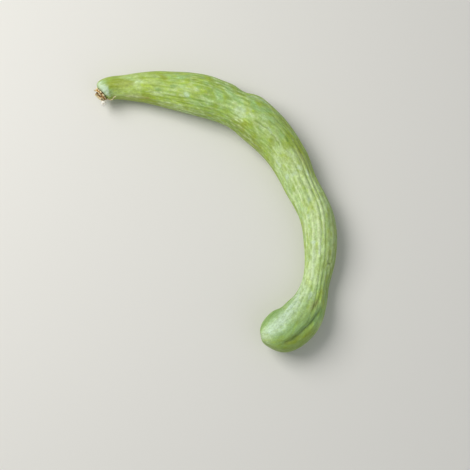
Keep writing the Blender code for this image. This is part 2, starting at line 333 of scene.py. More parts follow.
@dataclass
class Surface:
    """Vertices, faces and point attributes of a mesh, gathered as whole arrays."""

    points: list[np.ndarray] = field(default_factory=list)
    quads: list[np.ndarray] = field(default_factory=list)
    triangles: list[np.ndarray] = field(default_factory=list)
    attributes: dict[str, list[np.ndarray]] = field(default_factory=dict)
    count: int = 0

    def add_tube(
        self,
        rings: np.ndarray,
        first_pole: np.ndarray,
        last_pole: np.ndarray,
        **attributes: np.ndarray,
    ) -> None:
        """Adds rings of points, closed round and closed at both ends by a pole.

        Quads join each ring to the next one, and a fan of triangles joins each end
        ring to its pole. They face outwards where each ring runs right-handed round
        the direction in which the rings follow each other.

        Args:
            rings: Points, as rings by columns by 3.
            first_pole: Point before the first ring.
            last_pole: Point after the last ring.
            attributes: Values that fit rings by columns. A pole takes its ring's mean.
        """
        count, columns = rings.shape[:2]
        start = self.count
        grid = start + 1 + np.arange(count * columns).reshape(count, columns)
        following = np.roll(grid, -1, axis=1)
        end = start + 1 + count * columns
        self.points.append(np.vstack((first_pole[None], rings.reshape(-1, 3), last_pole[None])))
        quads = np.stack((grid[:-1], following[:-1], following[1:], grid[1:]), axis=-1)
        self.quads.append(quads.reshape(-1, 4))
        low = np.full(columns, start)
        high = np.full(columns, end)
        self.triangles.append(np.stack((low, following[0], grid[0]), axis=-1))
        self.triangles.append(np.stack((high, grid[-1], following[-1]), axis=-1))
        for name, values in attributes.items():
            full = np.broadcast_to(values, rings.shape[:2] + values.shape[2:])
            flat = full.reshape((count * columns,) + full.shape[2:])
            ends = full[[0, -1]].mean(axis=1)
            joined = np.concatenate((ends[:1], flat, ends[1:]))
            self.attributes.setdefault(name, []).append(joined)
        self.count = end + 1

    def mesh(self, name: str) -> bpy.types.Mesh:
        """Writes the arrays into a new smooth-shaded mesh.

        Args:
            name: Name of the mesh.

        Returns:
            The mesh, in metres.
        """
        points = np.concatenate(self.points) * MM
        quads = np.concatenate(self.quads)
        triangles = np.concatenate(self.triangles)
        loops = np.concatenate((quads.ravel(), triangles.ravel()))
        sizes = np.concatenate((np.full(len(quads), 4), np.full(len(triangles), 3)))
        made = bpy.data.meshes.new(name)
        made.vertices.add(len(points))
        made.vertices.foreach_set("co", points.astype(np.float32).ravel())
        made.loops.add(len(loops))
        made.loops.foreach_set("vertex_index", loops.astype(np.int32))
        made.polygons.add(len(sizes))
        starts = np.concatenate(([0], np.cumsum(sizes)[:-1]))
        made.polygons.foreach_set("loop_start", starts.astype(np.int32))
        made.update(calc_edges=True)
        for label, parts in self.attributes.items():
            values = np.concatenate(parts)
            kind, key = ("FLOAT", "value") if values.ndim == 1 else ("FLOAT_VECTOR", "vector")
            layer = made.attributes.new(label, kind, "POINT")
            layer.data.foreach_set(key, values.astype(np.float32).ravel())
        made.validate()
        made.shade_smooth()
        return made


def place_piece(
    name: str,
    surface: Surface,
    material: bpy.types.Material,
    node: str,
) -> bpy.types.Object:
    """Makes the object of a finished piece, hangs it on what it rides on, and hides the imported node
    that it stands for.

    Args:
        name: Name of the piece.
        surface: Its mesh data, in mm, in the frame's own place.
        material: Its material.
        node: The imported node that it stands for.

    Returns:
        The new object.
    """
    mesh = surface.mesh(name)
    mesh.materials.append(material)
    piece = bpy.data.objects.new(name, mesh)
    bpy.context.scene.collection.objects.link(piece)
    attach(piece, "root")
    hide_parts(node)
    return piece


@dataclass(frozen=True)
class Ripple:
    """Seeded random pattern on the skin that closes on itself round the fruit.

    It is a sum of cosines. Each has a whole number of waves round the fruit and a
    wavelength along it, both drawn within limits, and a random phase. The sum is
    scaled so that it spreads by about 0.7 to both sides of 0.
    """

    seed: int
    waves_round: tuple[int, int]
    length_mm: Pair
    terms: int = 36

    def values(self, station: np.ndarray, base: np.ndarray) -> np.ndarray:
        """Values of the pattern.

        Args:
            station: Stations in mm, one for each ring, as a column.
            base: Angles in degrees, one for each column, as a row.

        Returns:
            Values, rings by columns.
        """
        draw = np.random.default_rng(self.seed)
        waves = draw.integers(self.waves_round[0], self.waves_round[1] + 1, self.terms)
        rate = 2 * math.pi / draw.uniform(*self.length_mm, self.terms)
        rate *= draw.choice((-1.0, 1.0), self.terms)
        phase = draw.uniform(0, 2 * math.pi, self.terms)
        total = np.zeros(np.broadcast_shapes(station.shape, base.shape))
        for wave, pace, start in zip(waves, rate, phase):
            total += np.cos(np.radians(base) * wave + station * pace + start)
        return total / math.sqrt(self.terms)


# Form of the fruit


@dataclass(frozen=True)
class Swelling:
    """A bump or a dent, a bell shape in station and in angle."""

    station: float
    angle: float
    half_length: float
    half_angle: float
    height: float

    def rise(self, station: np.ndarray, angle: np.ndarray) -> np.ndarray:
        """The height times e to the power of less the two distances squared.

        Args:
            station: Stations, as a column.
            angle: Angles in degrees.

        Returns:
            Heights, rings by columns.
        """
        along = (station - self.station) / self.half_length
        around = turn_between(angle, self.angle) / self.half_angle
        return self.height * np.exp(-(along**2) - around**2)


@dataclass(frozen=True)
class Crease:
    """A long furrow of the blunt end, deepest in its middle, whose path bows sideways."""

    start: float
    stop: float
    first_angle: float
    last_angle: float
    bow: float
    half_angle: float
    depth: float
    bluntness: float = 0.8

    def rise(self, station: np.ndarray, angle: np.ndarray) -> np.ndarray:
        """Less the depth, times a bell across, times a half wave along.

        The half wave is raised to a power that makes it blunt.

        Args:
            station: Stations, as a column.
            angle: Angles in degrees.

        Returns:
            Heights below 0, rings by columns.
        """
        along = np.clip((station - self.start) / (self.stop - self.start), 0, 1)
        arch = np.sin(math.pi * along)
        middle = self.first_angle + (self.last_angle - self.first_angle) * along
        around = turn_between(angle, middle + self.bow * arch) / self.half_angle
        return -self.depth * arch**self.bluntness * np.exp(-(around**2))


def total_rise(
    bumps: tuple[Swelling | Crease, ...], station: np.ndarray, angle: np.ndarray
) -> np.ndarray:
    """Sum of the heights that all the bumps give to each point."""
    return np.sum([bump.rise(station, angle) for bump in bumps], axis=0)


@dataclass(frozen=True)
class FruitForm:
    """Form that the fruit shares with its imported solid, in mm, with the same values.

    Only the ribs are finer here: their furrows are rounded, and they fade by a share
    where the skin is smoother, by at most about 0.3 mm.
    """

    core_line: Table = (
        (-108.5, 112.4), (-103, 116.8), (-88, 119.5), (-62, 118.8), (-36, 114.8), (-6, 107.6),
        (22, 95.4), (52.5, 70.6), (74.2, 38), (81.8, 20.6), (91, 2.9), (98.8, -34),
        (93.8, -71.7), (77, -106.2), (60.5, -116.7), (42, -121.2),
    )
    drawing_middle: Pair = (-1.12, -0.56)
    body_radius: Table = (
        (0, 11.6), (19, 11.8), (33, 13.7), (52, 16.4), (72, 18.5), (98, 20.4), (118, 19.6),
        (137, 19.6), (157, 21.1), (177, 20.2), (210, 17.7), (232, 16.3), (257, 15.9),
        (293, 15.4), (331, 13.3), (344, 15.2), (357, 18.4), (370, 20.3), (384, 21), (420, 20.6),
    )
    roundness: float = 0.96
    neck_shoulder: float = 6.0
    neck_squareness: float = 2.8
    blunt_end: float = 28.0
    blunt_squareness: float = 2.2
    rib_count: int = 20
    rib_height: Table = (
        (0, 0), (20, 0.15), (60, 0.45), (190, 0.6), (235, 0.85), (330, 0.8), (355, 0.5),
        (385, 0.25), (410, 0.1),
    )
    rib_sunk: float = 0.6
    rib_alternation: float = 0.2
    rib_unevenness: Waves = ((0.3, 1, -0.44),)
    rib_turns: Table = (
        (0, 4), (120, 5), (150, 3), (180, -7), (228, -11), (262, 1), (285, 10.5), (308, 11),
        (347, -3), (400, -32),
    )
    rib_spread: Waves = ((2.2, 3, 1.05), (1.4, 7, 0.35))
    furrow_rounding: float = 0.24
    smoothed: tuple[Swelling, ...] = (
        Swelling(292, 46, 52, 44, 0.6),
        Swelling(55, 90, 60, 75, 0.45),
        Swelling(165, 95, 36, 45, 0.45),
    )
    swellings: tuple[Swelling, ...] = (
        Swelling(133, 5, 6, 30, -2.6),
        Swelling(147, 8, 8, 35, 1.2),
        Swelling(208, 5, 8, 35, 0.9),
        Swelling(331, 20, 8, 40, -0.8),
        Swelling(403, 10, 8, 55, -4.6),
        Swelling(376, 182, 12, 40, -0.9),
        Swelling(290, 250, 25, 30, -0.5),
        Swelling(110, 215, 22, 30, 0.5),
    )
    creases: tuple[Crease, ...] = (
        Crease(347, 394, 43, 43, 12.5, 7.5, 2.6),
        Crease(338, 361, 60, 75, 0, 6, 0.9),
        Crease(352, 404, 305, 292, 0, 11, 1.8),
        Crease(358, 402, 196, 186, 0, 12, 0.9),
    )
    scar_radius: float = 3.5
    scar_depth: float = 1.2
    rest_stations: Triple = (75.0, 186.0, 374.0)
    pressed: float = 0.6
    neck_lift: float = 6.5
    span_lifts: Pair = (1.6, 2.2)
    tip_lift: float = 1.6

    @property
    def core_points(self) -> np.ndarray:
        """Points of the core line, moved so that the whole object's box is centred."""
        return np.array(self.core_line) - np.array(self.drawing_middle)

    @property
    def core_stations(self) -> np.ndarray:
        """Stations of those points: the sum of the chords up to each."""
        chords = np.linalg.norm(np.diff(self.core_points, axis=0), axis=1)
        return np.concatenate(([0.0], np.cumsum(chords)))

    @property
    def length(self) -> float:
        """Station of the blunt end."""
        return float(self.core_stations[-1])

    def radius(self, station: np.ndarray) -> np.ndarray:
        """Radius of the body, on a spline through its table."""
        table = np.array(self.body_radius)
        return spline(table[:, 0], table[:, 1:], station)[0][:, 0]

    def lift(self, station: np.ndarray) -> np.ndarray:
        """Height of the underside: parabolas at the ends, squared sines between the rests.

        Args:
            station: Stations.

        Returns:
            Heights in mm, less than 0 by the pressed amount at the three rests.
        """
        first, middle, last = self.rest_stations
        before = self.neck_lift * (1 - station / first) ** 2
        arch = self.span_lifts[0] * np.sin(math.pi * (station - first) / (middle - first)) ** 2
        bow = self.span_lifts[1] * np.sin(math.pi * (station - middle) / (last - middle)) ** 2
        after = self.tip_lift * ((station - last) / (self.length - last)) ** 2
        places = [station < first, station < middle, station < last]
        return np.select(places, [before, arch, bow], after) - self.pressed

    def frames(self, station: np.ndarray) -> tuple[np.ndarray, np.ndarray, np.ndarray]:
        """Where the fruit's sections lie: on the core line's spline, across its slope.

        Args:
            station: Stations.

        Returns:
            Centre, outward and upward direction of the section at each station.
        """
        flat, slope = spline(self.core_stations, self.core_points, station)
        inside = np.clip(station, 0, self.length)
        height = self.roundness * self.radius(inside) + self.lift(station)
        centre = np.column_stack((flat, height))
        run = slope / np.linalg.norm(slope, axis=1)[:, None]
        outward = np.column_stack((-run[:, 1], run[:, 0], np.zeros(len(run))))
        upward = np.tile((0.0, 0.0, 1.0), (len(run), 1))
        return centre, outward, upward

    def rib_turn(self, station: np.ndarray, base: np.ndarray) -> np.ndarray:
        """Turn of the ribs: a spline along the body, and sine waves round it.

        Args:
            station: Stations, as a column.
            base: Angles before the ribs' turn, as a row.

        Returns:
            Turns in degrees, rings by columns.
        """
        table = np.array(self.rib_turns)
        turn = spline(table[:, 0], table[:, 1:], station[:, 0])[0]
        return turn + wave_sum(self.rib_spread, np.radians(base))

    def rib_wave(self, base: np.ndarray) -> np.ndarray:
        """Wave whose size is 1 on each rib's crest and 0 in each furrow."""
        return np.cos(np.radians(base) * self.rib_count / 2)

    def ribs(self, station: np.ndarray, base: np.ndarray) -> np.ndarray:
        """Height of the ribs: the wave's size less the sunk share, uneven round the body.

        The wave's size is the root of its square and the rounding's square, less a
        third of the rounding. It is multiplied by a height from a table, which fades
        by a share where the skin is smooth.

        Args:
            station: Stations, as a column.
            base: Angles before the ribs' turn, as a row.

        Returns:
            Heights in mm, rings by columns.
        """
        height = read_table(self.rib_height, station)
        height = height * (1 - total_rise(self.smoothed, station, base))
        wave = self.rib_wave(base)
        size = np.hypot(wave, self.furrow_rounding) - self.furrow_rounding / 3
        uneven = 1 + self.rib_alternation * wave
        uneven = uneven + wave_sum(self.rib_unevenness, np.radians(base))
        return height * (size - self.rib_sunk) * uneven

    def coarse_radius(
        self, station: np.ndarray, base: np.ndarray, angle: np.ndarray
    ) -> np.ndarray:
        """Radius with ribs, swellings and creases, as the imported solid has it."""
        radius = self.radius(station[:, 0])[:, None] + self.ribs(station, base)
        return radius + total_rise(self.swellings + self.creases, station, angle)


# Marks of the skin


@dataclass(frozen=True)
class Sheet:
    """The skin laid out flat: ring by ring, with the mm that a degree spans on each ring."""

    rows: np.ndarray
    scale: np.ndarray
    station: np.ndarray
    angle: np.ndarray

    def cut(self, first: float, last: float) -> tuple[slice, "Sheet"]:
        """Cuts the rings between two stations out of the sheet.

        Args:
            first: Station where the part starts.
            last: Station where it ends.

        Returns:
            Which rings these are, and the sheet of those alone.
        """
        low, high = np.searchsorted(self.rows, (first, last))
        part = slice(int(low), int(high))
        return part, Sheet(self.rows[part], self.scale[part], self.station[part], self.angle[part])


@dataclass(frozen=True)
class Stroke:
    """A brushed mark of one tint, along a few points given by station and angle.

    Its depth says how far it is pressed into the skin, and less than 0 stands for raised.
    """

    tint: Tint
    path: Table
    half_width: float
    strength: float
    depth: float = 0.0
    end_width: ClassVar[float] = 0.55
    bell_power: ClassVar[float] = 2.4
    widths_seen: ClassVar[float] = 2.2

    @property
    def reach(self) -> Pair:
        """First and last station that the mark can touch.

        Returns:
            The path's own first and last one, moved out by so many half widths.
        """
        stations = [station for station, _ in self.path]
        away = self.widths_seen * self.half_width
        return min(stations) - away, max(stations) + away

    def spread(self, sheet: Sheet) -> np.ndarray:
        """Bell of the distance from the path, narrower towards both ends of it.

        Each stretch of the path gives every point its distance and its share of the
        way, and the nearest stretch counts. The half width is scaled from the end width
        up to 1 in the middle, by half a circle. The bell is e to the power of less the
        distance over the half width, itself raised to the bell's power.

        Args:
            sheet: The part of the skin to look at.

        Returns:
            Values from 0 to 1, rings by columns.
        """
        path = np.array(self.path)
        middle = path[:, 1].mean()
        scale = np.interp(path[:, 0], sheet.rows, sheet.scale)
        knots = np.column_stack((path[:, 0], (path[:, 1] - middle) * scale))
        across = turn_between(sheet.angle, middle) * sheet.scale[:, None]
        steps = np.linalg.norm(np.diff(knots, axis=0), axis=1)
        passed = np.concatenate(([0.0], np.cumsum(steps)))
        nearest = np.full(sheet.station.shape, np.inf)
        place = np.zeros(sheet.station.shape)
        for start, run, step, done in zip(knots, np.diff(knots, axis=0), steps, passed):
            along, aside = sheet.station - start[0], across - start[1]
            share = np.clip((along * run[0] + aside * run[1]) / step**2, 0, 1)
            away = np.hypot(along - share * run[0], aside - share * run[1])
            place = np.where(away < nearest, (done + share * step) / passed[-1], place)
            nearest = np.minimum(away, nearest)
        arch = np.sqrt(4 * place * (1 - place))
        width = self.half_width * (self.end_width + (1 - self.end_width) * arch)
        return np.exp(-((nearest / width) ** self.bell_power))


# For each tint: rows of a path's stations and angles, its half width, its strength and,
# where the mark is pressed in or, under 0, raised, its depth
MARK_ROWS = {
    # Cool: bluish patches of the neck, the bend, the arm and the blunt end
    Tint.COOL: (
        (((5, 48), (7, 66)), 3, 0.7), (((7, 112), (9, 131)), 3, 0.7),
        (((25, 56), (31, 74)), 2.6, 0.6), (((67, 62), (84, 62)), 4.5, 0.6),
        (((97, 116), (106, 142)), 4.6, 0.45), (((108, 92), (136, 92)), 9, 0.35),
        (((118, 74), (150, 70), (186, 72)), 7, 0.35), (((148, 72), (172, 72)), 4.5, 0.4),
        (((208, 150), (252, 152)), 7, 0.5), (((250, 146), (264, 154)), 4.5, 0.7),
        (((250, 62), (262, 60)), 3.6, 0.5), (((352, 118), (402, 96)), 14, 0.5),
        (((351, 44), (356, 24)), 4, 0.8),
    ),
    # Lime: fresh yellow patches and streaks
    Tint.LIME: (
        (((18, 152), (104, 156)), 7, 0.45), (((21, 104), (31, 106)), 2.6, 0.7),
        (((41, 97), (43, 107), (50, 100)), 2.6, 0.9), (((44, 77), (56, 78)), 1.4, 0.5),
        (((76, 78), (85, 79)), 1.6, 0.55), (((71, 134), (80, 141)), 2.6, 0.85),
        (((87, 60), (100, 58)), 1.5, 0.5), (((98, 94), (104, 98)), 2.6, 0.95),
        (((146, 131), (158, 120)), 4, 1), (((182, 155), (197, 154)), 4, 0.35),
        (((151, 87), (154, 83)), 1.2, 0.6), (((202, 108), (206, 98), (215, 96)), 2.8, 0.85),
        (((213, 81), (215, 71)), 1.5, 0.5),
        (((249, 54), (251, 72), (254, 90), (262, 126)), 1.9, 0.85),
        (((275, 88), (282, 87)), 1.8, 0.8), (((293, 110), (308, 107.5)), 1.5, 0.85),
        (((294, 141), (300, 140)), 2.2, 0.7), (((312, 130), (321, 118)), 1.9, 0.5),
        (((303, 172), (313, 166)), 3, 0.6), (((398, 70), (402, 84)), 5, 0.35),
        (((366, 38), (398, 32)), 5, 0.35), (((392, 60), (402, 58)), 4, 0.35),
    ),
    # Olive: dull patches, broadest inside the neck and the bend and on the blunt end; inside the bend
    # and on the blunt end's outer side they are partly painted shade
    Tint.OLIVE: (
        (((10, 90), (31, 92)), 5, 1), (((11, 84), (29, 86)), 3.4, 0.7),
        (((42, 133), (57, 134)), 1.6, 0.5), (((20, 166), (62, 168)), 6, 0.5),
        (((58, 57), (61, 66), (63, 77)), 2.1, 1), (((101, 78), (106, 75)), 1.5, 0.5),
        (((108, 64), (112, 62)), 1.5, 0.5), (((124, 62), (136, 60)), 1.8, 0.5),
        (((138, 146), (148, 134)), 4.4, 1), (((149, 131), (157, 122)), 2.6, 0.65),
        # The first mark on the next line is olive-brown skin, partly a painted shadow across the inner
        # bend
        (((138, 160), (182, 160)), 9.5, 0.7), (((183, 107), (188, 107)), 1.7, 0.8),
        (((170, 66), (191, 66)), 2.4, 0.3), (((195, 52), (226, 50)), 5.5, 0.6),
        (((204, 62), (216, 61)), 2, 0.8), (((203, 101), (207, 105)), 1.3, 0.65),
        (((210, 107), (214, 105)), 1.1, 0.5), (((300, 149), (304, 142)), 1.5, 0.6),
        (((266, 163), (283, 150)), 3.6, 0.55), (((303, 69), (338, 67)), 3, 0.15),
        # The last mark on the next line is yellower skin, partly painted shade towards the blunt end's
        # outer edge
        (((282, 64), (291, 66)), 2.2, 0.4), (((366, 26), (404, 22)), 9, 0.6),
        (((377, 49), (388, 46)), 2.4, 0.85), (((354, 88), (372, 84)), 3.4, 0.3),
    ),
    # Bronze: brownish scuffs, a brownish tinge with painted shade along the arm's outer side, and the
    # start of the deep crease
    Tint.BRONZE: (
        (((26, 149), (48, 148)), 2.6, 0.7), (((87, 66), (92, 67)), 0.9, 0.6),
        (((86, 60), (101, 52)), 1.1, 0.4), (((103, 100), (106, 101)), 1, 0.5),
        (((144, 152), (154, 141)), 2, 0.55), (((205, 58), (215, 57)), 1.8, 0.45),
        # The first mark on the next line is a brownish tinge and painted shade along the arm's outer
        # side
        (((270, 38), (345, 38)), 6, 0.3), (((345, 67), (349, 70), (354, 76)), 3, 0.65),
    ),
    # Shade: green furrows beside raised ridges, small spots, and painted shade along the outer side of
    # the arm and the blunt end and along the blunt end's inner side
    Tint.SHADE: (
        (((55, 111), (61, 114)), 2.6, 0.8), (((69, 97), (75, 92)), 1.9, 0.8),
        (((66, 77), (72, 79)), 1.2, 0.35), (((98, 127), (104, 135)), 2, 0.5),
        (((108, 122), (130, 118)), 1.1, 0.2), (((104, 47), (121, 46), (132, 41)), 0.7, 0.4, 0.12),
        (((110, 59), (124, 60), (136, 56)), 0.7, 0.4, 0.1), (((132, 152), (150, 164)), 7, 0.35),
        (((177, 105), (190, 105)), 1.2, 0.4), (((186, 130), (197, 133)), 1.2, 0.4),
        # The second mark on the next line is painted shade along the inner side, from the arm's end to
        # the blunt end
        (((190, 70), (194, 75)), 1, 0.6), (((326, 164), (372, 158), (406, 146)), 7.5, 0.5),
        (((224, 70), (240, 74), (250, 79)), 1, 0.5, 0.12), (((228, 87), (240, 91)), 1, 0.4),
        (((262, 78), (272, 84), (286, 88)), 0.9, 0.5, 0.1),
        (((264, 97), (276, 103), (288, 104)), 0.9, 0.45),
        (((262, 112), (272, 118), (283, 125)), 0.8, 0.35),
        (((300, 88), (318, 84), (335, 81)), 1, 0.45), (((305, 79), (308, 76)), 1.3, 0.5),
        # The first mark on the next line is painted shade along the arm's outer side
        (((258, 22), (350, 20)), 9, 0.2), (((358, 66), (404, 66)), 6, 0.2),
        # Both marks on the next line are painted shade: on the blunt end's inner side and along its
        # outer side
        (((378, 150), (402, 140)), 8, 0.45), (((372, 18), (406, 20)), 8, 0.35),
        (((336, 135), (350, 131), (362, 127), (373, 124.5)), 0.8, 0.7, 0.3),
        (((339, 90.5), (348, 92)), 0.9, 0.6, 0.15), (((341, 105), (346, 107)), 0.9, 0.45),
        (((342, 113), (346, 115)), 0.8, 0.3), (((350, 46), (353, 38), (355, 28)), 3.2, 0.5),
        (((379, 50), (384, 49)), 1.2, 0.5),
    ),
    # Pale: veins, raised ridges and creases, and lighter stretches; painted light on the blunt end's
    # inner side and on its tip
    Tint.PALE: (
        (((22, 52), (42, 46)), 5, 0.35), (((60, 163), (104, 160)), 6, 0.3),
        (((8, 140), (38, 142)), 6, 0.4), (((33, 48), (35, 75), (35, 95), (39, 124)), 3, 0.28),
        (((36, 84), (57, 86)), 2.6, 0.3), (((43, 62), (56, 65)), 2.2, 0.4),
        (((51, 128), (63, 127)), 1.8, 0.5), (((62, 150), (79, 154)), 2.4, 0.35),
        (((45, 122), (66, 121), (86, 119.5)), 1.1, 0.55, -0.08),
        (((86, 56), (87, 72), (89, 87), (97, 97)), 1.2, 0.4), (((84, 95), (95, 99)), 0.9, 0.5),
        (((96, 117), (126, 114)), 1.1, 0.45), (((104, 42), (120, 40), (131, 34)), 0.8, 0.6, -0.12),
        (((106, 53), (122, 53), (134, 48)), 0.9, 0.6, -0.12),
        (((108, 65), (124, 67), (138, 63)), 0.9, 0.45, -0.1), (((160, 95), (182, 95)), 11, 0.35),
        (((192, 118), (232, 105)), 13, 0.6), (((205, 72), (262, 60)), 9, 0.35),
        (((133, 98), (148, 108)), 9, 0.2), (((138, 136), (148, 125)), 2.4, 0.45),
        (((139, 56), (143, 70)), 1.8, 0.4), (((152, 163), (171, 152)), 0.6, 0.5, -0.1),
        (((168, 164), (179, 157)), 0.9, 0.6),
        (((160, 107.5), (166, 105.5), (172, 101)), 0.8, 0.6, -0.1),
        (((178, 94), (192, 95)), 1.1, 0.5), (((193, 53), (195, 57)), 1, 0.6),
        (((199, 90), (213, 87)), 2, 0.5), (((204, 150), (213, 158)), 3, 0.35),
        (((232, 50), (312, 46)), 6.5, 0.35), (((210, 152), (252, 156)), 6, 0.3),
        (((245, 118), (300, 124), (345, 134)), 14, 0.5), (((227, 60), (247, 63)), 1.6, 0.6),
        (((230, 77), (240, 81), (249, 88)), 1.7, 0.95, -0.12), (((233, 99), (236, 118)), 1.5, 0.4),
        (((238, 118), (239, 141)), 1.8, 0.7), (((234, 156), (246, 150)), 3, 0.4),
        (((254, 67), (267, 73)), 1.6, 0.6),
        (((260, 85), (272, 93), (285, 97), (306, 98)), 1.5, 0.9, -0.1),
        (((262, 70), (270, 76), (281, 81)), 1.5, 0.8, -0.08),
        (((262, 104), (270, 110), (288, 120)), 1.6, 0.65),
        (((264, 131), (276, 138), (288, 140)), 1.8, 0.5), (((300, 120), (331, 122)), 3.6, 0.5),
        (((318, 92), (331, 88)), 2.4, 0.5), (((308, 140), (326, 135)), 3, 0.45),
        # The second mark on the next line is painted light, a broad highlight on the blunt end's inner
        # side
        (((312, 58), (313.5, 55)), 0.8, 0.8), (((343, 120), (374, 108)), 9, 0.35),
        (((326, 142), (340, 141), (356, 138)), 1.5, 0.75, -0.12),
        (((338, 127), (352, 124), (364, 120)), 1.2, 0.5),
        # The first mark on the next line is painted light on the lit tip of the blunt end
        (((402, 45), (403, 80), (402, 112)), 5, 0.6), (((358, 20), (364, 4)), 2.4, 0.5),
    ),
    # Wax: the cap beside the stalk, whitish spots on top, the blunt end's bloom with a broad painted
    # highlight over it, and two painted glints on top of the arm's end
    Tint.WAX: (
        (((1.5, 40), (2, 90), (3, 135)), 4.6, 1), (((3, 80), (5, 110)), 3, 0.6),
        (((35, 86), (41, 88)), 2.4, 0.3), (((84, 111), (88, 117)), 1.8, 0.7),
        (((140, 48), (146, 40), (157, 34)), 1.8, 0.55), (((137, 106), (146, 116)), 6, 0.38),
        (((142, 100), (147, 104)), 2.4, 0.28), (((173, 94), (178, 97)), 1.5, 0.5),
        (((203, 136), (210, 134)), 2.2, 0.5), (((218, 80), (221, 80)), 1.7, 0.65),
        (((222, 95), (223, 112)), 1.8, 0.5), (((221, 127), (224, 135)), 2, 0.6),
        (((224, 60.5), (229, 60)), 1.3, 0.6), (((249, 97), (252, 103)), 1.6, 0.6),
        (((291, 98.5), (304, 98)), 1.1, 0.6), (((264, 122), (268, 125)), 1.6, 0.45),
        (((292, 117), (292.5, 126)), 1.9, 0.75), (((294, 121), (310, 120), (328, 117)), 3, 0.35),
        (((330, 156), (350, 158)), 4, 0.4), (((338, 132), (360, 130)), 8, 0.4),
        # The first mark on the next line is bloom with a broad painted highlight over the blunt end's
        # inner side
        (((358, 128), (374, 121), (400, 102)), 9, 0.5), (((346, 139.5), (354, 138.5)), 1.4, 0.9),
        (((361, 133), (371, 130)), 1.3, 0.9, -0.1), (((367, 117), (375, 117)), 1.7, 0.6),
        (((375, 122), (385, 111)), 5, 0.45), (((384, 104), (394, 96), (403, 78)), 8, 0.5),
        # Both marks on the next line are painted highlights: glints on the ribs on top of the arm's end
        (((340, 97.5), (347, 98.5)), 1.4, 0.8, -0.08), (((339, 82.5), (346, 86)), 1.2, 0.6, -0.06),
    ),
    # Ink: thin lines on the neck and the bend, painted shadow beside two raised pale veins in the bend,
    # a nick in the arm, and painted shade along the deep crease's line
    Tint.INK: (
        (((62, 126.5), (86, 124.5)), 0.6, 0.3, 0.08),
        (((148, 167), (160, 158), (172, 150)), 0.7, 0.35, 0.15),
        (((156, 172), (180, 156)), 0.7, 0.3, 0.15), (((146, 158), (167, 145)), 0.7, 0.3, 0.12),
        # Painted shadow beside two raised pale veins, on this line and the next
        (((160, 103.5), (167, 101.5), (174, 96)), 0.75, 0.45, 0.12),
        (((179, 97.5), (187, 98.5), (194, 100.5)), 0.75, 0.45, 0.12),
        (((309.8, 58), (311, 52), (311.2, 47)), 0.9, 1, 0.45),
        (((308.6, 60), (309.2, 59)), 0.6, 0.8, 0.2), (((348, 70), (352.5, 74)), 1.8, 0.35),
        # Painted shade along the bottom of the deep crease, on this line and the next
        (((352, 47.5), (357, 50.5), (364, 54.5), (370, 55.8)), 1.1, 0.5),
        (((369, 55.8), (377, 54), (384, 51), (391, 47)), 1.1, 0.5),
    ),
}
MARKS = tuple(Stroke(tint, *row) for tint, rows in MARK_ROWS.items() for row in rows)


@dataclass(frozen=True)
class Scatter:
    """Small random marks: scratches all round, and blotches on the sides that don't show.

    Pairs are the limits of a draw, and margins the mm left free at each end.
    """

    seed: int = 5
    scratches: int = 90
    scratch_margins: Pair = (12.0, 14.0)
    scratch_run: Pair = (-3.5, 3.5)
    scratch_turn: Pair = (-13.0, 13.0)
    scratch_tints: tuple[Tint, ...] = (Tint.PALE, Tint.PALE, Tint.SHADE)
    scratch_width: Pair = (0.35, 0.6)
    scratch_strength: Pair = (0.2, 0.45)
    blotches: int = 80
    blotch_margins: Pair = (14.0, 20.0)
    unseen_angles: Pair = (178.0, 392.0)
    blotch_half: Pair = (2.0, 12.0)
    blotch_tints: tuple[Tint, ...] = (
        Tint.LIME, Tint.OLIVE, Tint.WAX, Tint.PALE, Tint.COOL, Tint.BRONZE,
    )
    blotch_turn: Pair = (-4.0, 4.0)
    blotch_width: Pair = (1.4, 4.2)
    blotch_strength: Pair = (0.3, 0.75)

    def marks(self, length: float) -> tuple[Stroke, ...]:
        """Draws the marks, each a stroke between two points.

        Args:
            length: Station of the blunt end.

        Returns:
            The marks.
        """
        draw = random.Random(self.seed)
        marks = []
        low, high = self.scratch_margins
        for _ in range(self.scratches):
            station, angle = draw.uniform(low, length - high), draw.uniform(0, 360)
            run, turn = draw.uniform(*self.scratch_run), draw.uniform(*self.scratch_turn)
            tint = draw.choice(self.scratch_tints)
            path = ((station, angle), (station + run, angle + turn))
            sizes = draw.uniform(*self.scratch_width), draw.uniform(*self.scratch_strength)
            marks.append(Stroke(tint, path, *sizes))
        low, high = self.blotch_margins
        for _ in range(self.blotches):
            station, angle = draw.uniform(low, length - high), draw.uniform(*self.unseen_angles)
            half = draw.uniform(*self.blotch_half)
            tint = draw.choice(self.blotch_tints)
            turn = draw.uniform(*self.blotch_turn)
            path = ((station - half, angle), (station + half, angle + turn))
            sizes = draw.uniform(*self.blotch_width), draw.uniform(*self.blotch_strength)
            marks.append(Stroke(tint, path, *sizes))
        return tuple(marks)


@dataclass(frozen=True)
class Puckers:
    """Folds that run out from a pole of the fruit, uneven round it, in mm."""

    count: int
    waver: Waves
    distance: float
    reach: float
    height: float

    def depth(self, away: np.ndarray, base: np.ndarray) -> np.ndarray:
        """Depth of the folds: a cosine round the pole times a bell of the distance.

        Args:
            away: Distance of each ring from the pole, as a column.
            base: Angles, as a row.

        Returns:
            Depths in mm, rings by columns.
        """
        turn = np.radians(base)
        fold = (1 + np.cos(self.count * turn + wave_sum(self.waver, turn))) / 2
        return self.height * fold * np.exp(-(((away - self.distance) / self.reach) ** 2))


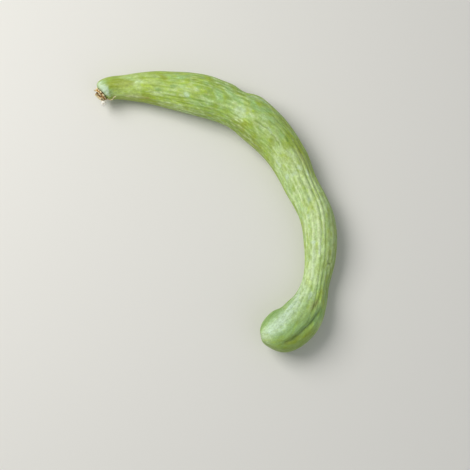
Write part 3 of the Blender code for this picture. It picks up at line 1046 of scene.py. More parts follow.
@dataclass(frozen=True)
class SkinRelief:
    """Fine forms of the skin in mm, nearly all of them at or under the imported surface."""

    lumps: Ripple = Ripple(11, (1, 7), (22.0, 70.0))
    lump_height: float = 0.16
    lump_top: float = 1.4
    fine_ridges: Ripple = Ripple(23, (34, 60), (38.0, 170.0), 60)
    fine_height: float = 0.05
    fine_top: float = 1.5
    crinkles: Ripple = Ripple(31, (26, 56), (5.0, 16.0), 60)
    crinkle_height: float = 0.05
    crinkle_top: float = 1.5
    plain_crinkle: float = 0.3
    crinkled: tuple[Swelling, ...] = (
        Swelling(126, 40, 16, 22, 3.0),
        Swelling(159, 158, 15, 20, 2.4),
        Swelling(96, 52, 16, 14, 1.4),
        Swelling(350, 66, 10, 16, 1.4),
        Swelling(12, 180, 12, 60, 1.2),
        Swelling(146, 200, 22, 26, 2.2),
    )
    smooth_bulb: Swelling = Swelling(392, 110, 34, 90, 0.85)
    shoulder: Puckers = Puckers(13, ((0.6, 3, 0.0),), 7.5, 5.0, 0.3)
    scar: Puckers = Puckers(9, ((0.9, 2, 0.0),), 5.5, 5.5, 0.3)
    scar_rim_radius: float = 3.0
    scar_rim_width: float = 0.7
    scar_rim_height: float = 0.25

    def depth(self, station: np.ndarray, base: np.ndarray, angle: np.ndarray) -> np.ndarray:
        """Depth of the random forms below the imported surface.

        Lumps, fine ridges and crinkles are taken down by their tops, so that their
        highest points lie about on the surface. Crinkles are deeper where the skin was
        bent.

        Args:
            station: Stations, as a column.
            base: Angles before the ribs' turn, as a row.
            angle: True angles, rings by columns.

        Returns:
            Depths in mm, rings by columns.
        """
        share = 1 - self.smooth_bulb.rise(station, angle)
        lumps = self.lump_height * (self.lump_top - self.lumps.values(station, base))
        fine = self.fine_height * share * (self.fine_top - self.fine_ridges.values(station, base))
        bent = self.plain_crinkle * share + total_rise(self.crinkled, station, angle)
        rough = self.crinkle_height * (self.crinkle_top - self.crinkles.values(station, base))
        return lumps + fine + bent * rough

    def end_depth(
        self, from_neck: np.ndarray, from_scar: np.ndarray, base: np.ndarray
    ) -> np.ndarray:
        """Depth of the puckers at both ends, less the raised rim of the flower's scar.

        Args:
            from_neck: Distance of each ring from the narrow end's pole, as a column.
            from_scar: The same from the blunt end's pole.
            base: Angles, as a row.

        Returns:
            Depths in mm, rings by columns.
        """
        total = self.shoulder.depth(from_neck, base) + self.scar.depth(from_scar, base)
        rim = np.exp(-(((from_scar - self.scar_rim_radius) / self.scar_rim_width) ** 2))
        return total - self.scar_rim_height * rim


@dataclass(frozen=True)
class Mottle:
    """What one random pattern does to one tint of the skin.

    It comes in smoothly between two values of the pattern. A share over 0 adds so much
    of the tint, and a share under 0 takes away so much of what is there.
    """

    pattern: Ripple
    tint: Tint
    share: float
    between: Pair
    zone: Table = ((0.0, 1.0),)

    def laid(self, mask: np.ndarray, values: np.ndarray, station: np.ndarray) -> np.ndarray:
        """Works the effect into the tint's mask: the share, the zone and a smooth step.

        Args:
            mask: The tint's mask so far.
            values: The pattern's values.
            station: Stations, as a column.

        Returns:
            The new mask: the old one plus the effect, or times 1 and the effect.
        """
        effect = self.share * read_table(self.zone, station) * smooth(*self.between, values)
        return mask + effect if self.share > 0 else mask * (1 + effect)


@dataclass(frozen=True)
class SkinTint:
    """Masks that say where each tint of the skin lies: zones, ribs, mottles and marks."""

    marks: tuple[Stroke, ...] = MARKS
    scatter: Scatter = Scatter()
    mark_unevenness: float = 0.22
    ragged: tuple[Ripple, Ripple] = (
        Ripple(59, (5, 24), (5.0, 14.0)),
        Ripple(67, (5, 24), (5.0, 14.0)),
    )
    ragged_mm: float = 0.3
    striped: tuple[Swelling, ...] = (
        Swelling(283, 112, 55, 55, 0.34),
        Swelling(270, 250, 110, 80, 0.45),
        Swelling(90, 240, 80, 80, 0.25),
    )
    plain_stripe: float = 0.08
    crest: Pair = (0.3, 1.0)
    crest_share: Pair = (0.8, 0.6)
    furrow: Pair = (0.5, 0.05)
    furrow_share: Pair = (0.22, -0.2)
    rib_mix: Ripple = Ripple(41, (3, 12), (50.0, 160.0))
    most_mixed: float = 1.2
    veils: Ripple = Ripple(47, (2, 8), (16.0, 44.0), 40)
    neck_zone: Table = (
        (0, 0.7), (20, 0.9), (40, 0.75), (70, 0.6), (100, 0.5), (130, 0.25), (160, 0.2),
        (200, 0.25), (225, 0.15), (245, 0),
    )
    neck_veil: float = -0.45
    cool_zone: Table = (
        (60, 0), (90, 0.1), (120, 0.2), (150, 0.15), (200, 0), (235, 0.25), (265, 0.5),
        (300, 0.4), (330, 0.55), (355, 0.65), (400, 0.9),
    )
    cool_veil: float = 0.5
    streak_zone: Table = (
        (0, 0.2), (50, 0.3), (80, 1), (170, 0.9), (210, 0.3), (240, 0.25), (330, 0.25),
        (352, 0.2), (380, 0.08),
    )
    patch_zone: Table = (
        (0, 0.2), (50, 0.3), (75, 1), (185, 0.9), (210, 0.5), (250, 0.8), (335, 0.8),
        (360, 0.2), (400, 0.1),
    )
    streaks: Ripple = Ripple(43, (22, 52), (18.0, 80.0), 70)
    blotches: Ripple = Ripple(53, (7, 26), (6.0, 20.0), 60)
    islands: Ripple = Ripple(71, (4, 11), (11.0, 26.0), 60)
    flecks: Ripple = Ripple(79, (9, 22), (8.0, 20.0), 60)
    mottles: tuple[Mottle, ...] = (
        Mottle(streaks, Tint.PALE, 0.3, (0.1, 1.3), streak_zone),
        Mottle(streaks, Tint.SHADE, 0.36, (-0.1, -1.3), streak_zone),
        Mottle(blotches, Tint.LIME, 0.4, (0.0, 1.2)),
        Mottle(blotches, Tint.PALE, -0.6, (0.0, 1.2)),
        Mottle(blotches, Tint.WAX, -0.35, (0.0, 1.2)),
        Mottle(blotches, Tint.OLIVE, 0.22, (-0.1, -1.3)),
        Mottle(islands, Tint.LIME, 0.4, (0.1, 1.2), patch_zone),
        Mottle(islands, Tint.OLIVE, 0.3, (0.1, 1.2), patch_zone),
        Mottle(islands, Tint.PALE, -0.5, (0.1, 1.2), patch_zone),
        Mottle(islands, Tint.WAX, -0.3, (0.1, 1.2), patch_zone),
        Mottle(islands, Tint.COOL, 0.45, (-0.1, -1.2), patch_zone),
        Mottle(flecks, Tint.PALE, 0.32, (0.2, 1.3), patch_zone),
        Mottle(flecks, Tint.SHADE, 0.3, (-0.2, -1.3), patch_zone),
    )
    # Painted shade: more olive on the flanks, fading out towards the upper side
    shaded_flank: Pair = (0.55, 0.0)
    flank_shade_share: float = 0.4

    def sheet(self, form: FruitForm, station: np.ndarray, base: np.ndarray) -> Sheet:
        """Lays the skin out flat, with ripples that make the marks' edges ragged.

        Args:
            form: The fruit's form.
            station: Stations, as a column.
            base: Angles before the ribs' turn, as a row.

        Returns:
            The sheet.
        """
        rows = station[:, 0]
        scale = np.radians(1.0) * form.radius(rows)
        along, aside = (r.values(station, base) * self.ragged_mm for r in self.ragged)
        angle = base + form.rib_turn(station, base)
        return Sheet(rows, scale, station + along, angle + aside / scale[:, None])

    def painted(self, sheet: Sheet, length: float) -> tuple[dict[Tint, np.ndarray], np.ndarray]:
        """Sums all marks, each by its strength and by its depth.

        Args:
            sheet: The skin laid out flat.
            length: Station of the blunt end.

        Returns:
            A mask for each tint, and one depth in mm.
        """
        masks = {tint: np.zeros(sheet.station.shape) for tint in Tint}
        pressed = np.zeros(sheet.station.shape)
        for mark in self.marks + self.scatter.marks(length):
            part, window = sheet.cut(*mark.reach)
            if len(window.rows):
                shape = mark.spread(window)
                masks[mark.tint][part] += mark.strength * shape
                pressed[part] += mark.depth * shape
        return masks, pressed

    def masks(
        self,
        form: FruitForm,
        painted: dict[Tint, np.ndarray],
        station: np.ndarray,
        base: np.ndarray,
        angle: np.ndarray,
    ) -> dict[str, np.ndarray]:
        """Adds stripes, zones, mottles and painted shade on the flanks to the painted marks.

        Pale crests and green furrows come from the ribs' own wave, uneven from rib to
        rib and along each. Two veiled zones and the mottles follow: streaks along the
        ribs, blotches, larger islands that are yellow or cool, and pale or green
        flecks. Where blotches and islands are lime, they thin out the pale and waxy
        tints. More olive on the flanks than on the upper side is painted shade.

        Args:
            form: The fruit's form.
            painted: Masks of the marks.
            station: Stations, as a column.
            base: Angles before the ribs' turn, as a row.
            angle: True angles, rings by columns.

        Returns:
            Name and values of each mask, from 0 to 1.
        """
        patterns = {mottle.pattern for mottle in self.mottles}
        values = {pattern: pattern.values(station, base) for pattern in patterns}
        uneven = 1 + self.mark_unevenness * values[self.blotches]
        masks = {tint: mask * uneven for tint, mask in painted.items()}
        wave = np.abs(form.rib_wave(base))
        striped = self.plain_stripe + total_rise(self.striped, station, angle)
        mix = np.clip(self.rib_mix.values(station, base), -self.most_mixed, self.most_mixed)
        stripes = (
            (Tint.PALE, self.crest, self.crest_share),
            (Tint.SHADE, self.furrow, self.furrow_share),
        )
        for tint, between, (plain, mixed) in stripes:
            masks[tint] += smooth(*between, wave) * striped * (plain + mixed * mix)
        veils = self.veils.values(station, base)
        masks[Tint.NECK] += read_table(self.neck_zone, station) * (1 + self.neck_veil * veils)
        masks[Tint.COOL] += read_table(self.cool_zone, station) * (1 + self.cool_veil * veils)
        for mottle in self.mottles:
            masks[mottle.tint] = mottle.laid(masks[mottle.tint], values[mottle.pattern], station)
        # Painted shade: olive on the flanks, by how far each point lies below the top
        high = np.sin(np.radians(angle))
        masks[Tint.OLIVE] += self.flank_shade_share * smooth(*self.shaded_flank, high)
        return {tint.mask: np.clip(mask, 0, 1) for tint, mask in masks.items()}


@dataclass(frozen=True)
class WaxyMelonSkin:
    """Ripe cucumber-melon skin: thin, satin, faintly waxy, with a soft depth under it.

    The eye sees a yellow-green, paler on the ribs' crests, with olive and lime mottles,
    and a dull bluish bloom where it wasn't rubbed off. Its grain follows the skin, on
    coordinates of the straightened fruit. Real fibre lines are under 0.2 mm wide, and
    are drawn wider here so that they show.
    """

    roughness: float = 0.46
    bloom_roughness: float = 0.66
    ior: float = 1.44
    subsurface: float = 0.1
    subsurface_mm: float = 1.6
    subsurface_reach: Triple = (1.0, 1.0, 0.4)
    coat: float = 0.05
    coat_roughness: float = 0.32
    fibres: Grain = Grain(0.55, (0.93, 1.07), 14.0, 3.0)
    mottle: Grain = Grain(2.6, (0.88, 1.12), 2.0, 4.0)
    specks: Grain = Grain(1.1, (0.88, 1.12), 1.4, 2.0)
    edge_break: Pair = (1.2, 0.4)
    speck_relief: float = 0.5
    relief_strength: float = 0.6
    relief_mm: float = 0.1

    def build(self) -> bpy.types.Material:
        """Builds the material: tints laid over each other, then fibres, mottle and specks.

        Returns:
            The material.
        """
        material, tree = blank_material("waxy_melon_skin")
        place = add_node(tree, "ShaderNodeAttribute", "Vector", attribute_name="straightened")
        grains = (self.fibres, self.mottle, self.specks)
        fibres, mottle, specks = (grain.pattern(tree, place) for grain in grains)
        inputs = (mottle, *self.edge_break)
        broken = add_node(tree, "ShaderNodeMath", "Value", inputs, operation="MULTIPLY_ADD")
        colour: Any = Tone.FLESH.linear
        shares = {}
        for tint in Tint:
            tone, most = tint.value
            colour, shares[tint] = lay_tone(tree, colour, tone, tint.mask, broken, most)
        for grain, pattern in zip(grains, (fibres, mottle, specks)):
            colour = grain.lit(tree, colour, pattern)
        inputs = (shares[Tint.WAX], 0.0, 1.0, self.roughness, self.bloom_roughness)
        roughness = add_node(tree, "ShaderNodeMapRange", "Result", inputs)
        inputs = (specks, self.speck_relief, fibres)
        height = add_node(tree, "ShaderNodeMath", "Value", inputs, operation="MULTIPLY_ADD")
        relief = {
            "Strength": self.relief_strength,
            "Distance": self.relief_mm * MM,
            "Height": height,
        }
        finish = {
            "Base Color": colour,
            "Roughness": roughness,
            "IOR": self.ior,
            "Subsurface Weight": self.subsurface,
            "Subsurface Radius": self.subsurface_reach,
            "Subsurface Scale": self.subsurface_mm * MM,
            "Coat Weight": self.coat,
            "Coat Roughness": self.coat_roughness,
            "Normal": add_node(tree, "ShaderNodeBump", "Normal", relief),
        }
        end_material(tree, finish)
        return material


@dataclass(frozen=True)
class RibbedFruit:
    """The fruit: its form, its fine relief, its tints and its skin."""

    form: FruitForm = FruitForm()
    relief: SkinRelief = SkinRelief()
    tint: SkinTint = SkinTint()
    skin: WaxyMelonSkin = WaxyMelonSkin()
    columns: int = 240
    neck_rings: int = 24
    body_rings: int = 336
    blunt_rings: int = 40
    cork_radius: float = 3.2
    cork_core: float = 0.6
    far: float = 99.0

    def rings(self) -> tuple[np.ndarray, np.ndarray]:
        """Spaces the rings between the poles.

        Along the body the rounding is 1. Each end is a quarter of a superellipse: the
        rounding is a sine and the reach a cosine, both to the power of 2 over its
        squareness.

        Returns:
            Station and rounding of every ring.
        """
        form = self.form
        neck = np.linspace(0, math.pi / 2, self.neck_rings + 1)[1:]
        blunt = np.linspace(0, math.pi / 2, self.blunt_rings + 1)[:-1]
        stop = form.length - form.blunt_end
        body = np.linspace(form.neck_shoulder, stop, self.body_rings + 2)[1:-1]
        neck_station = form.neck_shoulder * (1 - np.cos(neck) ** (2 / form.neck_squareness))
        neck_rounding = np.sin(neck) ** (2 / form.neck_squareness)
        reach = np.sin(blunt) ** (2 / form.blunt_squareness)
        blunt_station = form.length - form.blunt_end * (1 - reach)
        blunt_rounding = np.cos(blunt) ** (2 / form.blunt_squareness)
        station = np.concatenate((neck_station, body, blunt_station))
        rounding = np.concatenate((neck_rounding, np.ones(self.body_rings), blunt_rounding))
        return station, rounding

    def dimple(self, from_scar: np.ndarray) -> np.ndarray:
        """How far the blunt end is drawn in round the scar, a bell of the distance."""
        return self.form.scar_depth * np.exp(-((from_scar / self.form.scar_radius) ** 2))

    def surface(self) -> Surface:
        """Works out the skin: the section's centre plus the rounded radius at each angle.

        Near the poles it is pulled in along the core line, by the puckers and the
        dimple. No point lies below the surface that the fruit rests on.

        Returns:
            The fruit's mesh data with all its masks and the straightened coordinates.
        """
        form = self.form
        station, rounding = self.rings()
        base = (np.arange(self.columns) * 360.0 / self.columns)[None]
        rows = station[:, None]
        angle = base + form.rib_turn(rows, base)
        painted, pressed = self.tint.painted(self.tint.sheet(form, rows, base), form.length)
        edge = form.radius(station)[:, None] * rounding[:, None]
        from_neck = np.where(rows < form.neck_shoulder, edge, self.far)
        blunt_side = rows > form.length - form.blunt_end
        from_scar = np.where(blunt_side, edge, self.far)
        radius = form.coarse_radius(rows, base, angle)
        radius = rounding[:, None] * (radius - self.relief.depth(rows, base, angle) - pressed)
        centre, outward, upward = form.frames(station)
        turn = np.radians(angle)
        across = (radius * np.cos(turn))[..., None]
        high = (radius * form.roundness * np.sin(turn))[..., None]
        points = centre[:, None] + across * outward[:, None] + high * upward[:, None]
        along = np.cross(outward, upward)[:, None]
        inwards = np.where(rows < form.length / 2, 1.0, -1.0)
        pulled = self.relief.end_depth(from_neck, from_scar, base)
        pulled = pulled + np.where(blunt_side, self.dimple(from_scar), 0.0)
        points = points + (inwards * pulled)[..., None] * along
        points[..., 2] = np.maximum(points[..., 2], 0.0)
        masks = self.tint.masks(form, painted, rows, base, angle)
        core = self.cork_core * self.cork_radius
        masks[Tint.CORK.mask] = smooth(self.cork_radius, core, from_scar)
        flat = np.radians(base)
        straightened = (edge * np.cos(flat), edge * np.sin(flat), rows + 0.0 * base)
        made = Surface()
        coordinates = np.stack(straightened, axis=-1) * MM
        made.add_tube(points, *self.poles(), straightened=coordinates, **masks)
        return made

    def poles(self) -> tuple[np.ndarray, np.ndarray]:
        """The two end points.

        Returns:
            The narrow end's, and the blunt end's, drawn in by the scar's dimple.
        """
        form = self.form
        centre, outward, upward = form.frames(np.array([0.0, form.length]))
        along = np.cross(outward, upward)
        return centre[0], centre[1] - form.scar_depth * along[1]

    def build(self) -> list[bpy.types.Object]:
        """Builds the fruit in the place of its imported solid.

        Returns:
            The one finished piece.
        """
        material = self.skin.build()
        surface = self.surface()
        return [place_piece("melon_skin", surface, material, "ribbed_fruit")]


# Dried remains of the stalk


@dataclass(frozen=True)
class DryStalkTissue:
    """Withered, torn stalk tissue: dull, fibrous, cream at its torn edges, with umber as painted shade
    in its slots, hollows and roots.
    """

    roughness: float = 0.88
    fibres: Grain = Grain(0.35, (0.78, 1.15))
    blotches: Grain = Grain(1.6)
    edge_break: Pair = (1.4, 0.35)
    relief_strength: float = 0.8
    relief_mm: float = 0.12

    def build(self) -> bpy.types.Material:
        """Builds the material from the masks "torn" and "deep" and from two patterns.

        Returns:
            The material.
        """
        material, tree = blank_material("dry_stalk_tissue")
        place = add_node(tree, "ShaderNodeTexCoord", "Object")
        fibres = self.fibres.pattern(tree, place)
        inputs = (self.blotches.pattern(tree, place), *self.edge_break)
        broken = add_node(tree, "ShaderNodeMath", "Value", inputs, operation="MULTIPLY_ADD")
        colour: Any = Tone.TAN.linear
        # Cream on the torn edges is the tissue's own; umber where the mask "deep" lies is painted shade
        for name, tone in (("torn", Tone.CREAM), ("deep", Tone.UMBER)):
            colour, _ = lay_tone(tree, colour, tone, name, broken)
        relief = (self.relief_strength, self.relief_mm * MM, fibres)
        inputs = dict(zip(("Strength", "Distance", "Height"), relief))
        finish = {
            "Base Color": self.fibres.lit(tree, colour, fibres),
            "Roughness": self.roughness,
            "Normal": add_node(tree, "ShaderNodeBump", "Normal", inputs),
        }
        end_material(tree, finish)
        return material


@dataclass(frozen=True)
class DryPith:
    """Spongy dry pith: chalky, almost white, without any gloss, greyed in its hollow and its low cells
    as painted shade.
    """

    roughness: float = 0.95
    cells: Grain = Grain(0.6)
    grey_between: Pair = (0.55, 0.35)
    most_grey: float = 0.6
    relief_strength: float = 0.7
    relief_mm: float = 0.2

    def build(self) -> bpy.types.Material:
        """Builds the material: the mask "hollow" and the low cells turn it grey, as painted shade.

        Returns:
            The material.
        """
        material, tree = blank_material("spongy_dry_pith")
        place = add_node(tree, "ShaderNodeTexCoord", "Object")
        cells = self.cells.pattern(tree, place)
        # Painted shade: grey in the low cells and in the hollow
        inputs = (cells, *self.grey_between, 0.0, self.most_grey)
        grey = add_node(tree, "ShaderNodeMapRange", "Result", inputs)
        inputs = (add_node(tree, "ShaderNodeAttribute", "Fac", attribute_name="hollow"), grey)
        share = add_node(tree, "ShaderNodeMath", "Value", inputs, operation="ADD", use_clamp=True)
        mixed = {
            "Factor_Float": share,
            "A_Color": Tone.PITH.linear,
            "B_Color": Tone.PITH_SHADE.linear,
        }
        relief = (self.relief_strength, self.relief_mm * MM, cells)
        inputs = dict(zip(("Strength", "Distance", "Height"), relief))
        finish = {
            "Base Color": add_node(tree, "ShaderNodeMix", "Result_Color", mixed, data_type="RGBA"),
            "Roughness": self.roughness,
            "Normal": add_node(tree, "ShaderNodeBump", "Normal", inputs),
        }
        end_material(tree, finish)
        return material


@dataclass(frozen=True)
class StalkPart:
    """What the parts of the stalk's remains share: their axes and the plate's thickness.

    The axes start at the middle of the fruit's narrow end: x points to the outer side
    of the bend, y down and z along the stalk. Sizes are in mm and degrees.
    """

    form: FruitForm = FruitForm()
    plate_gap: float = 0.4
    plate_thickness: float = 1.7

    def placed(self, points: np.ndarray) -> np.ndarray:
        """Moves points from the stalk's own axes to the fruit's end.

        Args:
            points: The points, in an array of any shape.

        Returns:
            The moved points, in the same shape.
        """
        centre, outward, upward = (rows[0] for rows in self.form.frames(np.array([0.0])))
        directions = np.stack((outward, -upward, np.cross(upward, outward)))
        return centre + (points.reshape(-1, 3) @ directions).reshape(points.shape)


@dataclass(frozen=True)
class CorkyPlate(StalkPart):
    """Corky plate that the stalk grew from, with a wavy rim that is broken into knobs."""

    radius: float = 7.6
    waves: Waves = ((0.05, 3, 0.5), (0.03, 7, 0.0))
    profile: Table = (
        (0.30, 0.05), (0.62, 0.05), (0.90, 0.10), (0.985, 0.35), (1.0, 0.75), (0.96, 1.15),
        (0.88, 1.60), (0.80, 1.95), (0.68, 1.90), (0.50, 1.60), (0.34, 1.40), (0.18, 1.32),
    )
    pole_heights: Pair = (0.05, 1.3)
    steps: int = 56
    columns: int = 168
    knobs: int = 15
    knob_shifts: Waves = ((0.7, 2, 0.0), (0.5, 5, 1.0))
    knob_roundness: float = 0.6
    cleft_depth: float = 0.07
    cleft_drop: float = 0.35
    rim: Pair = (0.55, 0.9)
    hollow: Pair = (0.9, 0.74)
    hollow_heights: Pair = (0.8, 1.3)
    cleft: Pair = (0.75, 0.35)
    cleft_share: float = 0.9
    torn: Pair = (0.8, 0.92)
    torn_share: float = 0.85

    def surface(self) -> Surface:
        """Works out the plate: a turned profile whose rim waves and breaks into knobs.

        The profile runs from the fruit's face round the rim to the middle of the torn
        side, as shares of the radius and heights. Each point's radius is multiplied by
        one plus the rim's waves and by the knobs, which are rounded by the size of a
        cosine. The clefts between knobs and the torn side are darkened as painted shade.

        Returns:
            The plate's mesh data, with the masks "deep" and "torn".
        """
        rows = np.array(self.profile)
        steps = np.linspace(0, len(rows) - 1, self.steps)
        fine = spline(np.arange(len(rows), dtype=float), rows, steps)[0]
        turn = np.linspace(0, 2 * math.pi, self.columns, endpoint=False)[None]
        uneven = self.knobs / 2 * turn + wave_sum(self.knob_shifts, turn)
        knob = np.abs(np.cos(uneven)) ** self.knob_roundness
        share, height = fine[:, :1], fine[:, 1:] + 0.0 * turn
        rim = smooth(*self.rim, share)
        radius = self.radius * share * (1 + wave_sum(self.waves, turn))
        radius = radius * (1 - self.cleft_depth * (1 - knob) * rim)
        upper = height > self.plate_thickness / 2
        height = height - self.cleft_drop * (1 - knob) * rim * upper
        points = np.stack((radius * np.cos(turn), radius * np.sin(turn), height), axis=-1)
        hollow = smooth(*self.hollow, share) * smooth(*self.hollow_heights, height)
        # Painted shade: umber in the hollow and the clefts
        deep = np.clip(hollow + self.cleft_share * smooth(*self.cleft, knob) * rim, 0, 1)
        torn = self.torn_share * rim * knob * smooth(*self.torn, share)
        poles = self.placed(np.array([(0.0, 0.0, pole) for pole in self.pole_heights]))
        made = Surface()
        made.add_tube(self.placed(points), *poles, deep=deep, torn=torn)
        return made


@dataclass(frozen=True)
class FlapRow:
    """A row of torn flaps round the stalk's plate, with its sizes in mm and leans in degrees."""

    count: int
    root: float
    length: float
    width: float
    first_lean: float
    last_lean: float


@dataclass(frozen=True)
class TornFlaps(StalkPart):
    """Two rows of torn flaps that stand on the plate. Pairs named draws are their limits."""

    rows: tuple[FlapRow, ...] = (
        FlapRow(7, 5.6, 4.0, 5.2, 14.0, 66.0),
        FlapRow(5, 2.6, 3.2, 3.8, 2.0, 40.0),
    )
    seat: float = 0.55
    row_turn: float = 0.3
    droop: float = 0.4
    thickness: float = 0.85
    tip: float = 0.5
    thinning: float = 0.7
    taper: float = 0.45
    cup: float = 0.12
    least_bend: float = 2.5
    seed: int = 7
    turn_seeds: int = 1000
    place_draws: Pair = (-0.15, 0.15)
    lean_draws: Table = ((-6.0, 6.0), (-16.0, 10.0))
    reach_draws: Pair = (0.82, 1.1)
    ragged_draws: Pair = (0.72, 1.12)
    ragged_steps: int = 4
    twist_draws: Pair = (-14.0, 14.0)
    points_across: int = 22
    points_along: int = 24
    jag_waves: tuple[int, ...] = (3, 5, 8, 11)
    jag_pace: float = 3.1
    jag_draws: Pair = (0.4, 1.0)
    jag_size: float = 0.06
    jag_sunk: float = 0.05
    ridge_height: float = 0.08
    ridge_pace: float = 14.0
    ridge_waver: Pair = (4.0, 2.2)
    ridge_start: Pair = (0.0, 0.5)
    section_power: int = 6
    section_least: float = 0.05
    torn: Pair = (0.5, 0.85)
    torn_jags: float = 0.08
    deep_inside: Pair = (0.62, 0.3)
    deep_outside: Pair = (0.35, 0.05)

    def add_flap(
        self,
        made: Surface,
        turn: float,
        row: FlapRow,
        reach: float,
        leans: Pair,
        draw: random.Random,
    ) -> None:
        """Adds one flap: a curled blade that leans further out towards its ragged tip.

        Across it runs from -1 to 1 and along it from 0 to 1. A point's travel along the
        blade grows with the ragged edge's share, its lean from the first angle towards
        the last one, and its thickness falls to that of the torn tip. The blade's
        section at each place along it is a flat closed loop. Its normal leans with it:
        outwards at the root and back to the fruit at the tip.

        Args:
            made: The mesh data to add to.
            turn: Direction of the flap round the stalk, in radians.
            row: The row that it belongs to.
            reach: Its length.
            leans: Its first and last lean, in degrees.
            draw: The random draws.
        """
        ragged = [draw.uniform(*self.ragged_draws) for _ in range(self.ragged_steps)]
        twist = math.radians(draw.uniform(*self.twist_draws))
        fine = np.random.default_rng(int(abs(turn) * self.turn_seeds) + self.seed)
        side = np.linspace(-1, 1, self.points_across)
        loop = np.concatenate((side, side[::-1]))[None]
        face = np.repeat((1.0, -1.0), self.points_across)[None]
        way = np.linspace(0, 1, self.points_along)[:, None]
        jags = sum(
            fine.uniform(*self.jag_draws) * np.sin(k * loop * self.jag_pace + fine.uniform(*PHASES))
            for k in self.jag_waves
        )
        edge = np.interp(loop, np.linspace(-1, 1, self.ragged_steps), ragged)
        edge = edge - self.jag_sunk + self.jag_size * jags
        offset = loop * row.width / 2 * (1 - self.taper * way**2)
        travel = reach * way * (1 + (edge - 1) * way)
        first, last = (math.radians(lean) for lean in leans)
        lean = first + (last - first) * way / 2
        swing, pace = self.ridge_waver
        ridge = self.ridge_height * np.cos(loop * self.ridge_pace + swing * np.sin(pace * way))
        thick = self.thickness + (self.tip - self.thickness) * way**self.thinning
        rounded = np.sqrt(np.clip(1 - np.abs(loop) ** self.section_power, self.section_least, 1))
        shift = face * thick / 2 * rounded + ridge * smooth(*self.ridge_start, way)
        slope = first + (last - first) * way
        radius = row.root + travel * np.sin(lean) + self.cup * offset**2 / row.width
        radius = radius + shift * np.cos(slope)
        height = self.plate_gap + self.plate_thickness * self.seat + travel * np.cos(lean)
        height = height - shift * np.sin(slope)
        bend = turn + offset / max(row.root, self.least_bend) + twist * way
        points = np.stack((radius * np.cos(bend), radius * np.sin(bend), height), axis=-1)
        placed = self.placed(points)
        torn = smooth(*self.torn, way + self.torn_jags * jags)
        # Painted shade: umber towards the roots, reaching further up the inner face
        deep = np.where(face < 0, smooth(*self.deep_inside, way), smooth(*self.deep_outside, way))
        made.add_tube(placed, placed[0].mean(0), placed[-1].mean(0), torn=torn, deep=deep)

    def surface(self) -> Surface:
        """Adds all flaps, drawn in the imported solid's own order, so that they lie there.

        Returns:
            The flaps' mesh data, with the masks "torn" and "deep".
        """
        draw = random.Random(self.seed)
        made = Surface()
        for number, row in enumerate(self.rows):
            for i in range(row.count):
                spot = i + self.row_turn * number + draw.uniform(*self.place_draws)
                turn = 2 * math.pi * spot / row.count
                first = row.first_lean + draw.uniform(*self.lean_draws[0])
                last = row.last_lean + draw.uniform(*self.lean_draws[1])
                reach = row.length * draw.uniform(*self.reach_draws)
                reach *= 1 + self.droop * math.sin(turn)
                self.add_flap(made, turn, row, reach, (first, last), draw)
        return made


@dataclass(frozen=True)
class PithKnob(StalkPart):
    """Knob of pith beside the crown. Its lumps have a size and the limits of their waves."""

    radius: float = 2.35
    place: Triple = (-8.5, 0.6, 5.0)
    hollow: Triple = (-0.25, -0.85, 0.4)
    hollow_width: float = 0.09
    hollow_depth: float = 0.25
    lumps: tuple[Triple, ...] = (
        (0.13, 2.0, 4.0),
        (0.07, 5.0, 9.0),
        (0.03, 11.0, 18.0),
    )
    lump_terms: int = 7
    lump_scale: float = 2.6
    steps: int = 50
    columns: int = 96
    seed: int = 7

    def surface(self) -> Surface:
        """Works out the knob: a sphere whose radius changes by a sum of random waves.

        Its upper side has a shallow hollow, a bell of the angle from one direction.

        Returns:
            The knob's mesh data, with the mask "hollow".
        """
        draw = np.random.default_rng(self.seed)
        polar = np.linspace(0, math.pi, self.steps)[1:-1][:, None]
        turn = np.linspace(0, 2 * math.pi, self.columns, endpoint=False)[None]
        level = np.sin(polar)
        parts = (level * np.cos(turn), level * np.sin(turn), np.cos(polar) + 0.0 * turn)
        direction = np.stack(parts, axis=-1)
        lumps = np.zeros(direction.shape[:2])
        for strength, low, high in self.lumps:
            for _ in range(self.lump_terms):
                axis = draw.normal(size=3)
                axis *= draw.uniform(low, high) / np.linalg.norm(axis)
                waves = np.cos(direction @ axis + draw.uniform(*PHASES))
                lumps += strength / self.lump_scale * waves
        aim = np.array(self.hollow) / np.linalg.norm(self.hollow)
        hollow = np.exp(-((1 - direction @ aim) / self.hollow_width))
        radius = self.radius * (1.0 + lumps - self.hollow_depth * hollow)
        points = self.placed(np.array(self.place) + direction * radius[..., None])
        made = Surface()
        made.add_tube(points[::-1], points[-1].mean(0), points[0].mean(0), hollow=hollow[::-1])
        return made


